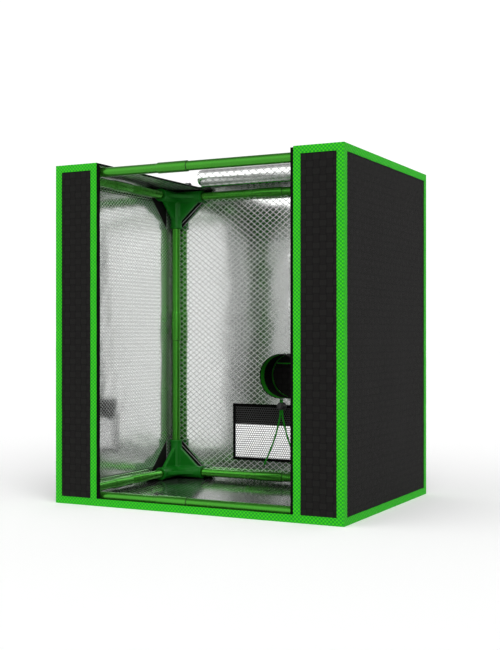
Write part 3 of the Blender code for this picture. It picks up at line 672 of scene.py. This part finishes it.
# the door's edge each side of the middle, the duct port's x, z and radius, and the vent's half width and heights
shell = {
    "doorEdge": 0.284,
    "port": (0.0, 0.327, 0.078),
    "vent": (0.205, 0.060, 0.244),
}


# distance on the back wall from the duct port and the vent window
def backClear(points):
    x, z = points[:, 0], points[:, 2]
    port = np.hypot(x - shell["port"][0], z - shell["port"][1]) - shell["port"][2]
    half, low, high = shell["vent"]
    outX = np.maximum(np.abs(x) - half, 0)
    outZ = np.maximum(np.maximum(low - z, z - high), 0)
    return np.maximum(np.minimum(port, np.hypot(outX, outZ)), 0)


makePanels()


# Edge binding, with a line of stitches along each of its inner edges

binding = {
    "wide": 0.038,  # the tape, before it is folded over the edge
    "cell": 0.011,
    "wander": 0.00022,
    "wave": 0.05,
    "stitchIn": 0.0163,  # from the tent's edge to the line of stitches
    "stitchEnd": 0.086,  # and where the roof's inner lines end, from the back
    "stitchLift": 0.00005,
    "stitch": 0.0042,
    "stitchLong": 0.0027,
    "stitchThick": 0.00032,
}


def makeBinding():
    def bend(points, low, high):
        x, y, z = points.T
        # every coordinate wanders a little, but nothing moves at the outer corners' height
        runs = ((y + z, x * 3), (x + z, y * 3), (x + y, z * 3))
        waves = [ripple(along, across, 3 + n, binding["wave"]) for n, (along, across) in enumerate(runs)]
        slide = np.stack(waves, 1) * binding["wander"]
        slide[(np.abs(points - low) < 0.001) | (np.abs(points - high) < 0.001)] *= 0.35
        slide[z < 0.002, 2] = 0
        return np.maximum(points + slide, [-9, -9, 0])

    mesh = bentCopy("edge_binding", binding["cell"], bend, angle=30)
    piece = addPiece("trim_edge_binding", mesh, [greenMat], "tent", ["edge_binding"])
    wall, stitches = ["skin_front_panel"], [makeStitches()]


# each run's start and end, and the way that its wall faces
def stitchRuns():
    (left, front, _), (right, back, top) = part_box("edge_binding")
    band, door, lift = binding["stitchIn"], shell["doorEdge"], binding["stitchLift"]
    runs = []

    def loop(corners, out):
        for a, b in zip(corners, corners[1:] + corners[:1]):
            runs.append((Vector(a), Vector(b), Vector(out)))

    for sign in (-1, 1):
        outer, inner = sign * (right - band), sign * (door + band)
        y = front - lift
        loop([(outer, y, band), (inner, y, band), (inner, y, top - band), (outer, y, top - band)], (0, -1, 0))
        x, near, far = sign * (right + lift), front + band, back - band
        loop([(x, near, band), (x, far, band), (x, far, top - band), (x, near, top - band)], (sign, 0, 0))
        z, up = top + lift, Vector((0, 0, 1))
        runs.append((Vector((outer, near, z)), Vector((outer, far, z)), up))
        runs.append((Vector((inner, near, z)), Vector((inner, back - binding["stitchEnd"], z)), up))
    y, edge = back + lift, right - band
    loop([(-edge, y, band), (edge, y, band), (edge, y, top - band), (-edge, y, top - band)], (0, 1, 0))
    return runs


def makeStitches():
    points, faces = [], []
    long, thick = binding["stitchLong"] / 2, binding["stitchThick"]
    for start, end, out in stitchRuns():
        along = (end - start).normalized()
        side = along.cross(out)
        for n in range(int((end - start).length / binding["stitch"])):
            middle = start + along * binding["stitch"] * (n + 0.5)
            base = len(points)
            for offset in (-along * long, side * thick, out * thick * 0.8, -side * thick, along * long):
                points.append(middle + offset)
            for face in ((0, 1, 2), (0, 2, 3), (4, 2, 1), (4, 3, 2), (0, 3, 1), (4, 1, 3)):
                faces.append([base + n for n in face])
    mesh = flatMesh("trim_stitches", points, faces, [(0, 0), (0.001, 0), (0, 0.001)] * len(faces))
    mesh.shade_smooth()
    return addPiece("trim_stitches", mesh, [hemMat], "tent")


makeBinding()


# Corner patches: black, with a silver edge

patch = {"cell": 0.008, "lift": 0.0002, "wave": 0.06, "liftFrom": 0.03, "reach": 0.05}
tentMiddle = Vector((0, 0, 0.45))


def makePatches():
    mats = {}
    for node in sorted(name for name in cad if name.startswith("corner_patch_")):
        low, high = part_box(node)
        # the patch's own corner is the one furthest from the tent's middle
        away = (low + high) / 2 - tentMiddle
        corner, inner = [
            Vector(high[n] if outer == (away[n] > 0) else low[n] for n in range(3)) for outer in (True, False)
        ]
        legs = tuple(round(n, 4) for n in high - low)
        if legs not in mats:
            mats[legs] = patchCloth("patchCloth" + str(len(mats)), legs)

        def bend(points, low, high):
            wave = ripple(points[:, 0], points[:, 2], len(node), patch["wave"])
            far = np.abs(points - np.array(corner)).max(1)
            lift = patch["lift"] * (wave + 0.8) * ease(far - patch["liftFrom"], patch["reach"])
            points[:, 1] += lift * (-1 if corner.y > 0 else 1) * (np.abs(points[:, 1] - inner[1]) < 0.0002)
            return points - np.array(corner)

        mesh = bentCopy(node, patch["cell"], bend, (0, 2), 50)
        piece = addPiece("sewn_" + node, mesh, [mats[legs]], "tent", [node], corner)


makePatches()
print("shell done")


# Frame: painted tubes with swaged joints, in moulded corners

tubes = {
    "radius": 0.0125,
    "wall": 0.0012,
    "wide": 0.01425,
    "swage": 0.086,
    "taper": 0.005,
    "lip": 0.0007,
    "joinPast": 0.020,  # the joint's seam lies this far past the middle
    "slack": 0.0003,
    "sides": 48,
}


# (radius, distance from the socket end) round the section of a tube, and which steps of it are the lip painted dark,
# a painted shade for the joint's seam line
def tubeProfile(kind, length):
    r, wide, t, lip = tubes["radius"], tubes["wide"], tubes["wall"], tubes["lip"]
    inner = r - t
    if kind == "plain":
        return [(r, 0), (r, length - lip), (r - lip, length), (inner, length), (inner, 0)], ()
    seam = length if kind == "swaged" else length / 2 + tubes["joinPast"]
    neck = seam - tubes["swage"]
    outside = [
        (r, 0), (r, neck - tubes["taper"]), (r + 0.0002, neck - tubes["taper"] * 0.8),
        (wide - 0.0002, neck - tubes["taper"] * 0.2), (wide, neck), (wide, seam - lip * 2),
        (wide - lip * 0.5, seam - lip * 1.6), (wide - lip * 1.6, seam),
    ]
    if kind == "swaged":
        mouth = r + tubes["slack"]
        return outside + [(mouth, length), (mouth, neck), (inner, neck - tubes["taper"]), (inner, 0)], (6, 7)
    return outside + [(r - 0.0004, seam), (r - 0.0004, seam + lip), (r, seam + lip * 2),
                      (r, length), (inner, length), (inner, 0)], (6, 7, 8, 9)


def makeTubes():
    for node in sorted(name for name in cad if "_pole" in name or "upright" in name):
        low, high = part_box(node)
        size = list(high - low)
        axis = size.index(max(size))
        kind = "joined" if axis == 1 else "swaged" if node.endswith(("pole_left", "upright_upper")) else "plain"
        fromLow = axis == 1 or node.endswith(("pole_left", "upright_lower"))
        start, along = (low + high) / 2, Vector((0, 0, 0))
        start[axis] = low[axis] if fromLow else high[axis]
        along[axis] = 1 if fromLow else -1
        side = along.orthogonal().normalized()
        other = along.cross(side)
        profile, dark = tubeProfile(kind, size[axis])
        runs = runsOf(profile)

        def place(n, angle):
            radius, distance = profile[n]
            spoke = side * math.cos(angle) + other * math.sin(angle)
            return start + along * distance + spoke * radius, (angle * tubes["radius"], runs[n])

        # the lip's steps take the dark finish, painted shade for the joint's seam line
        kinds = [int(n in dark) for n in range(len(profile)) for _ in range(tubes["sides"])]
        mesh = ringMesh("frame_" + node, len(profile), tubes["sides"], place, endless=True, kinds=kinds)
        addPiece("frame_" + node, mesh, [poleMat, seamShadeMat], "tent", [node])


makeTubes()


# The moulded corners are smoothed all over, so that their webs run into their sockets

joints = {"voxel": 0.0013, "soften": 6, "keep": 0.4}


def makeJoints():
    for node in sorted(name for name in cad if name.startswith("connector_")):
        guide = bpy.data.objects.new("guide", cad[node].data.copy())
        bpy.context.scene.collection.objects.link(guide)
        remesh = guide.modifiers.new("even", "REMESH")
        remesh.mode = "VOXEL"
        remesh.voxel_size = joints["voxel"]
        soften = guide.modifiers.new("soften", "SMOOTH")
        soften.factor = 0.5
        soften.iterations = joints["soften"]
        guide.modifiers.new("thin", "DECIMATE").ratio = joints["keep"]
        graph = bpy.context.evaluated_depsgraph_get()
        mesh = bpy.data.meshes.new_from_object(guide.evaluated_get(graph))
        bpy.data.objects.remove(guide)
        flatMap(mesh)
        mesh.shade_smooth()
        addPiece("moulded_" + node, mesh, [jointMat], "tent", [node])


makeJoints()
print("frame done")


# Zip: a tape on each side of the door with its coil, a slider and a pull tab

zips = {
    "cell": 0.012,
    "drift": 0.0003,  # how far the tape's free edge wanders
    "coil": 0.0026,  # from tooth to tooth
    "tooth": 0.0019,
    "toothLong": 0.0034,
    "toothThick": 0.00022,
    "postEnds": (0.012, 0.004), # bare tape below and above the teeth
    "roofEnds": (0.006, 0.003),
    "edgeSoft": 0.0003,  # rounding of the slider and its tab
}


def makeTapes():
    for side, sign in (("left", -1), ("right", 1)):
        node = side + "_zip_tape"
        low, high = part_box(node)
        edge = low[0] if sign > 0 else high[0]

        def bend(points, low, high):
            near = np.abs(points[:, 0] - edge) < 0.001
            points[:, 0] += near * zips["drift"] * ripple(points[:, 1], points[:, 2], 21, 0.09)
            return points

        mesh = bentCopy(node, zips["cell"], bend, (1, 2), 30)
        piece = addPiece("cloth_" + node, mesh, [tapeMat], "tent", [node])
        coil = [makeCoil(side, low, high, edge, sign)]
        print(node, "area", round(areaOf(mesh), 4))


# each station is its y and z, and the ways along and out in the same two
def makeCoil(side, low, high, edge, sign):
    half, thick, pitch = zips["tooth"] / 2, zips["toothThick"], zips["coil"]
    (foot, head), (front, rear) = zips["postEnds"], zips["roofEnds"]
    stations = [((low[1], z), (0, 1), (-1, 0)) for z in np.arange(low[2] + foot, high[2] - head, pitch)]
    stations += [((y, high[2]), (1, 0), (0, 1)) for y in np.arange(low[1] + front, high[1] - rear, pitch)]
    section = ((-half, 0), (-half / 2, thick), (half / 2, thick), (half, 0))
    points, faces = [], []
    for place, along, out in stations:
        base = len(points)
        for x, spread in ((edge - sign * 0.0002, 0.6), (edge + sign * zips["toothLong"], 1.0)):
            for shift, rise in section:
                points.append((x, *(place[n] + along[n] * shift * spread + out[n] * rise for n in (0, 1))))
        for face in ((0, 1, 5, 4), (1, 2, 6, 5), (2, 3, 7, 6), (3, 0, 4, 7), (0, 3, 2, 1), (4, 5, 6, 7)):
            faces.append([base + n for n in face])
    maps = [(0, 0), (0.002, 0), (0.002, 0.002), (0, 0.002)] * len(faces)
    mesh = faceOut(flatMesh("coil_" + side, points, faces, maps))
    return addPiece("coil_" + side, mesh, [tapeMat], "tent")


# a CAD part with its edges rounded over
def rounded(name, node, body, material, width):
    mesh, shape = wholeShape(node, 2)
    sharp = [edge for edge in shape.edges if edge.is_manifold and edge.calc_face_angle(0) > math.radians(40)]
    bmesh.ops.bevel(shape, geom=sharp, offset=width, segments=2, profile=0.6, affect="EDGES", clamp_overlap=True)
    keep(shape, mesh)
    flatMap(mesh)
    smooth(mesh, 40)
    return addPiece(name, mesh, [material], body, [node])


makeTapes()
for zipSide in ("left", "right"):
    for fitting, node in (("slider", "zip_slider"), ("tab", "pull_tab")):
        body = zipSide + "_" + fitting
        rounded(body + "_metal", zipSide + "_" + node, body, zincMat, zips["edgeSoft"])
print("zips done")


# Door, rolled up lining side out

door = {
    "length": 1.4198,
    "thickness": 0.0008,
    "pitch": 0.0014,
    "core": 0.004,
    "tail": 0.028,
    "perTurn": 34,
    "across": 46,
    "crease": 0.010,  # share of the radius
    "endTaper": 0.16,  # how far the ends draw in, as a share of the radius
    "endReach": 0.014,
}


def makeDoor():
    low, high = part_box("door_roll")
    thick = door["thickness"]
    radius = math.sqrt(door["length"] * door["pitch"] / math.pi + door["core"] ** 2)
    middle = Vector((0, low[1] + radius, low[2] + radius))
    outer = radius - thick / 2
    turns = (outer - door["core"]) / door["pitch"]
    steps = round(turns * door["perTurn"])
    xs = np.linspace(low[0], high[0], door["across"] + 1)
    nearEnd = door["endReach"] * np.array([0.05, 0.15, 0.3, 0.5, 0.75])
    xs = np.sort(np.concatenate([xs, low[0] + nearEnd, high[0] - nearEnd]))
    backs = np.arange(steps, -1, -1) / door["perTurn"]
    angles = -math.pi / 2 - backs * 2 * math.pi
    radii = outer - backs * door["pitch"]
    circle = np.stack([np.cos(angles), np.sin(angles)], 1)
    runs = list(np.cumsum(radii * 2 * math.pi / door["perTurn"]) - radii[0] * 2 * math.pi / door["perTurn"])
    atBottom = np.clip(-circle[:, 1] - 0.55, 0, 1)
    fromEnd = np.clip((high[0] - np.abs(xs)) / door["endReach"], 0, 1)
    drawn = 1 - door["endTaper"] * (1 - np.sqrt(1 - (1 - fromEnd) ** 2))
    # each row runs across on the lining's face and back on the other
    rows = []
    for n in range(steps + 1):
        # the same creases run through every turn, so that no turn meets the next
        bent = (1 + door["crease"] * creases(xs, circle[n]) * (1 - atBottom[n] * 2.2)) * drawn
        front, rear = [
            [(x, middle.y + circle[n][0] * r, middle.z + circle[n][1] * r) for x, r in zip(xs, reach)]
            for reach in ((radii[n] + thick / 2) * bent, (radii[n] - thick / 2) * bent)
        ]
        rows.append(front + rear[::-1])
    for share in (0.25, 0.5, 0.75, 1.0):
        y, z = middle.y + door["tail"] * share, middle.z - outer
        rows.append([(x, y, z - thick / 2) for x in xs] + [(x, y, z + thick / 2) for x in xs[::-1]])
        runs.append(runs[steps] + door["tail"] * share)
    flats = [[(x, run) for x in (*xs, *xs[::-1])] for run in runs]
    one = len(xs) - 1
    kinds = ([1] * one + [2] + [0] * one + [2]) * (len(rows) - 1) + [0, 0]
    mesh = loftMesh("door_cloth", rows, flats, kinds=kinds)
    smooth(mesh, 50)
    piece = addPiece("door_cloth", mesh, [blackMat, rollFilmMat, tapeMat], "tent", ["door_roll"])


def creases(xs, direction):
    angle = math.atan2(direction[1], direction[0])
    slow = np.sin(xs * 21 + 1.7 * math.sin(angle)) * 0.6
    quick = np.sin(xs * 63 + 3.1 * math.cos(angle + 0.6)) * 0.4
    pinch = -1.5 * np.exp(-((xs + 0.10 - 0.035 * math.sin(angle * 2)) / 0.013) ** 2)
    return slow + quick + pinch


makeDoor()


# Duct sleeve: black, hemmed in green inside its mouth, with a green seam at the wall

sleeve = {
    "length": 0.0890,
    "radius": 0.0655,
    "wall": 0.0012,
    "hem": 0.026,
    "lip": 0.003,  # bare cloth between the mouth and the hem tape
    "flange": 0.008,
    "sides": 96,
    "seam": 0.009,  # green tape round the inside, at the wall
}


def sleeveWave(angle, depth):
    share = depth / sleeve["length"]
    return (0.0004 * math.sin(5 * angle + 1.0) + 0.0002 * math.sin(11 * angle + 2.0)) * share


def makeSleeve():
    low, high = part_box("duct_sock")
    wallY, z = high[1], (low[2] + high[2]) / 2
    r, t, length = sleeve["radius"], sleeve["wall"], sleeve["length"]
    path = [(r + sleeve["flange"], 0.0), (r + sleeve["flange"], t), (r + 0.001, t), (r, t + 0.001)]
    path += [(r, length * share) for share in np.linspace(0.08, 0.97, 14)]
    path += [(r - 0.0002, length - 0.0004), (r - t, length), (r - 2 * t + 0.0003, length - 0.0004)]
    hem = length - sleeve["hem"]
    inside = [(r - 2 * t, length - sleeve["lip"])]
    inside += [(r - 2 * t, length * share) for share in np.linspace(0.93, 0.72, 5)]
    path += inside + [(r - 2 * t, hem + 0.0004), (r - t, hem)]
    path += [(r - t, hem * share) for share in np.linspace(0.97, 0.25, 8)]
    path += [(r - t, sleeve["seam"] * share) for share in (1.02, 0.98, 0.5, 0.0)]
    runs = runsOf(path)

    def place(n, angle):
        radius, depth = path[n]
        reach = radius + sleeveWave(angle, depth)
        return (reach * math.cos(angle), wallY - depth, z + reach * math.sin(angle)), (angle * r, runs[n])

    kinds = []
    for radius, depth in path:
        hemmed = radius < r - t and hem < depth <= length - sleeve["lip"] + 0.0001
        seam = radius < r - t + 0.0001 and depth <= sleeve["seam"]
        lined = radius > r + 0.0005
        kinds += [1 if hemmed or seam else 2 if lined else 0] * sleeve["sides"]
    mesh = ringMesh("sleeve_cloth", len(path), sleeve["sides"], place, 45, endless=True, kinds=kinds)
    piece = addPiece("sleeve_cloth", mesh, [blackMat, hemMat, filmMat], "tent", ["duct_sock"])


makeSleeve()


# Port cover, outside the back wall, with a line of green piping that shows through the sleeve

cover = {
    "cell": 0.006,
    "belly": 0.0006,
    "piping": 0.0032,
    "pipingThick": 0.0004,
    "pipingHigh": 0.363,
    "pipingHalf": 0.0515,  # half its length
    "pipingSides": 8,
}


def makeCover():
    def bend(points, low, high):
        wave = 0.5 + ripple(points[:, 0], points[:, 2], 31, 0.09)
        points[:, 1] += wave * cover["belly"] * ease(high[2] - points[:, 2], 0.12)
        return points

    mesh = bentCopy("port_cover", cover["cell"], bend, (0, 2))
    piece = addPiece("cover_cloth", mesh, [blackMat], "duct_cover", ["port_cover"])
    low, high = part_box("port_cover")
    xs = np.linspace(-cover["pipingHalf"], cover["pipingHalf"], 40)

    def place(n, angle):
        y = low[1] - 0.00012 + cover["pipingThick"] * 0.35 * math.sin(angle)
        z = cover["pipingHigh"] + cover["piping"] / 2 * math.cos(angle) + 0.0004 * math.sin(xs[n] * 60)
        return (xs[n], y, z), (xs[n], angle * 0.0005)

    line = ringMesh("cover_piping", len(xs), cover["pipingSides"], place, 60)
    piping = [addPiece("cover_piping", line, [hemMat], "duct_cover")]


makeCover()


# Vent window: fine net in a bound frame, with the outer flap folded up over its top

net = {"wide": 0.0073, "tall": 0.0063, "hole": 0.4746, "thick": 0.0005, "belly": 0.0009, "leastShare": 0.31}


def makeNet():
    low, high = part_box("vent_net")
    size = high - low
    y = (low[1] + high[1]) / 2
    columns, rowsCount = int(size[0] / net["wide"]), int(size[2] / net["tall"])
    wide, tall = size[0] / columns, size[2] / rowsCount
    index, points, faces = {}, [], []

    def point(x, z):
        x, z = min(max(x, low[0]), high[0]), min(max(z, low[2]), high[2])
        key = (round(x * 1e6), round(z * 1e6))
        if key not in index:
            index[key] = len(points)
            points.append((x, y, z))
        return index[key]

    ways = ((-1, -1), (0, -1), (1, -1), (1, 0), (1, 1), (0, 1), (-1, 1), (-1, 0))
    reaches = [net["hole"] / math.hypot(*way) for way in ways]
    # brick-set cells, each with an eight-sided hole; a half cell at a row's end is left whole
    for r in range(rowsCount):
        bottom = low[2] + r * tall
        shift = wide / 2 if r % 2 else 0.0
        edges = [low[0] + shift + c * wide for c in range(columns + 1)]
        edges = [x for x in edges if x <= high[0] + 1e-6]
        if shift:
            edges = [low[0]] + edges + [high[0]] * (edges[-1] < high[0] - 1e-6)
        for a, b in zip(edges, edges[1:]):
            x, z = (a + b) / 2, bottom + tall / 2
            outline = [point(x + n * (b - a) / 2, z + m * tall / 2) for n, m in ways]
            if b - a < wide * 0.7:
                faces.append(outline)
                continue
            hole = [point(x + n * wide * reach, z + m * tall * reach) for (n, m), reach in zip(ways, reaches)]
            faces += [(outline[k - 1], outline[k], hole[k], hole[k - 1]) for k in range(8)]
    mesh = bpy.data.meshes.new("net_cloth")
    mesh.from_pydata(points, [], faces)
    shape = bmesh.new()
    shape.from_mesh(mesh)
    bmesh.ops.recalc_face_normals(shape, faces=shape.faces)
    bmesh.ops.solidify(shape, geom=shape.faces, thickness=net["thick"])
    bmesh.ops.recalc_face_normals(shape, faces=shape.faces)
    shaped = pointsOf(keep(shape, mesh))
    x, _, z = shaped.T
    inset = np.minimum(high[0] - np.abs(x), np.minimum(z - low[2], high[2] - z))
    shaped[:, 1] += net["belly"] * ripple(x, z, 41, 0.16) * ease(inset - 0.004, 0.03) - 0.0002
    setPoints(mesh, shaped)
    flatMap(mesh)
    piece = addPiece("net_cloth", mesh, [netMat], "tent", ["vent_net"])


makeNet()


vent = {"cell": 0.008, "tape": 0.018, "drift": 0.00022, "flapBelly": 0.0006, "flapHem": 0.0008}


def makeVentTrim():
    def bend(points, low, high):
        drift = vent["drift"] * ripple(points[:, 0] * 1.3, points[:, 2], 42, 0.06)
        points[:, 0] += drift
        points[:, 2] += drift[::-1] * 0.6
        return points

    mesh = bentCopy("vent_binding", vent["cell"], bend, (0, 2))
    piece = addPiece("vent_tape", mesh, [tapeMat], "tent", ["vent_binding"])


def makeFlap():
    def bend(points, low, high):
        x, _, z = points.T
        hang = ease(high[2] - z, 0.05)
        belly = vent["flapBelly"] * (ripple(x, z * 0.4, 43, 0.12) + 0.6) * hang
        hem = vent["flapHem"] * ripple(x, z * 0, 44, 0.20) * hang
        return points + np.stack([x * 0, belly, hem], 1)

    mesh = bentCopy("vent_flap", vent["cell"], bend, (0, 2), 45)
    piece = addPiece("flap_cloth", mesh, [blackMat], "window_flap", ["vent_flap"])


makeVentTrim()
makeFlap()
print("back wall done")


# Drawcord of the sleeve: two braided tails through a barrel lock

cords = {
    "diameter": 0.005,
    "spacing": 0.0056,
    "sides": 14,
    "lockSoft": 0.0004,  # rounding of the lock's edges
    "tailSpread": 0.0545,
    "tailDrop": 0.165,
    # share of the drop, share of the spread
    "tail": [(0.00, 0.000), (0.12, 0.030), (0.28, 0.145), (0.50, 0.340), (0.78, 0.685), (1.00, 1.000)],
}


def cordRoute(sign, low, high):
    y = (low[1] + high[1]) / 2
    lockLow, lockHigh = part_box("cord_lock_barrel")
    x = sign * cords["spacing"] / 2
    leave = lockLow[2] - 0.0003
    points = [(x, y, high[2]), (x, y, lockHigh[2]), (x, y, (lockLow[2] + lockHigh[2]) / 2)]
    for drop, spread in cords["tail"]:
        points.append((x + sign * cords["tailSpread"] * spread, y, leave - cords["tailDrop"] * drop))
    return smoothLine([Vector(point) for point in points], 96)


def smoothLine(points, count):
    stations = runsOf(points)

    def pace(i):
        before, after = max(i - 1, 0), min(i + 1, len(points) - 1)
        return (points[after] - points[before]) / (stations[after] - stations[before])

    line = []
    for n in range(count + 1):
        at = stations[-1] * n / count
        i = min(max(sum(s <= at for s in stations) - 1, 0), len(points) - 2)
        gap = stations[i + 1] - stations[i]
        t = (at - stations[i]) / gap
        line.append(
            points[i] * (2 * t**3 - 3 * t**2 + 1) + pace(i) * gap * (t**3 - 2 * t**2 + t)
            + points[i + 1] * (3 * t**2 - 2 * t**3) + pace(i + 1) * gap * (t**3 - t**2)
        )
    return line


def makeCord(side, sign):
    node = side + "_drawcord"
    low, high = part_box(node)
    line = cordRoute(sign, low, high)
    radius, last = cords["diameter"] / 2, len(line) - 1
    ends = {0: 0.55, 1: 0.86, last - 1: 0.92, last: 0.60}
    runs = runsOf(line)

    def place(n, angle):
        along = (line[min(n + 1, last)] - line[max(n - 1, 0)]).normalized()
        deep = Vector((0, 1, 0))
        spoke = deep * math.cos(angle) + along.cross(deep).normalized() * math.sin(angle)
        return line[n] + spoke * radius * ends.get(n, 1.0), (angle * radius, runs[n])

    mesh = ringMesh("cord_" + side, len(line), cords["sides"], place, 60)
    piece = addPiece("cord_" + side, mesh, [cordMat], "tent", [node])
    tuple(line[0])
    print(node, "length", round(runs[last], 4))


barrel = rounded("lock_barrel", "cord_lock_barrel", "cord_lock", lockMat, cords["lockSoft"])
plunger = rounded("lock_plunger", "cord_lock_plunger", "lock_plunger", lockMat, cords["lockSoft"])
makeCord("left", -1)
makeCord("right", 1)
print("cords done")


# Floor of the studio

stage = {"size": 30.0, "tone": (0.99, 0.99, 0.99), "roughness": 0.9}


def makeStage():
    mesh = bpy.data.meshes.new("studio_floor")
    shape = bmesh.new()
    bmesh.ops.create_grid(shape, x_segments=8, y_segments=8, size=stage["size"])
    floor = bpy.data.objects.new("studio_floor", keep(shape, mesh))
    floor.location.z = -0.0004
    mesh.materials.append(Shader("studioFloor").finish(stage["tone"], stage["roughness"]))
    bpy.context.scene.collection.objects.link(floor)


makeStage()
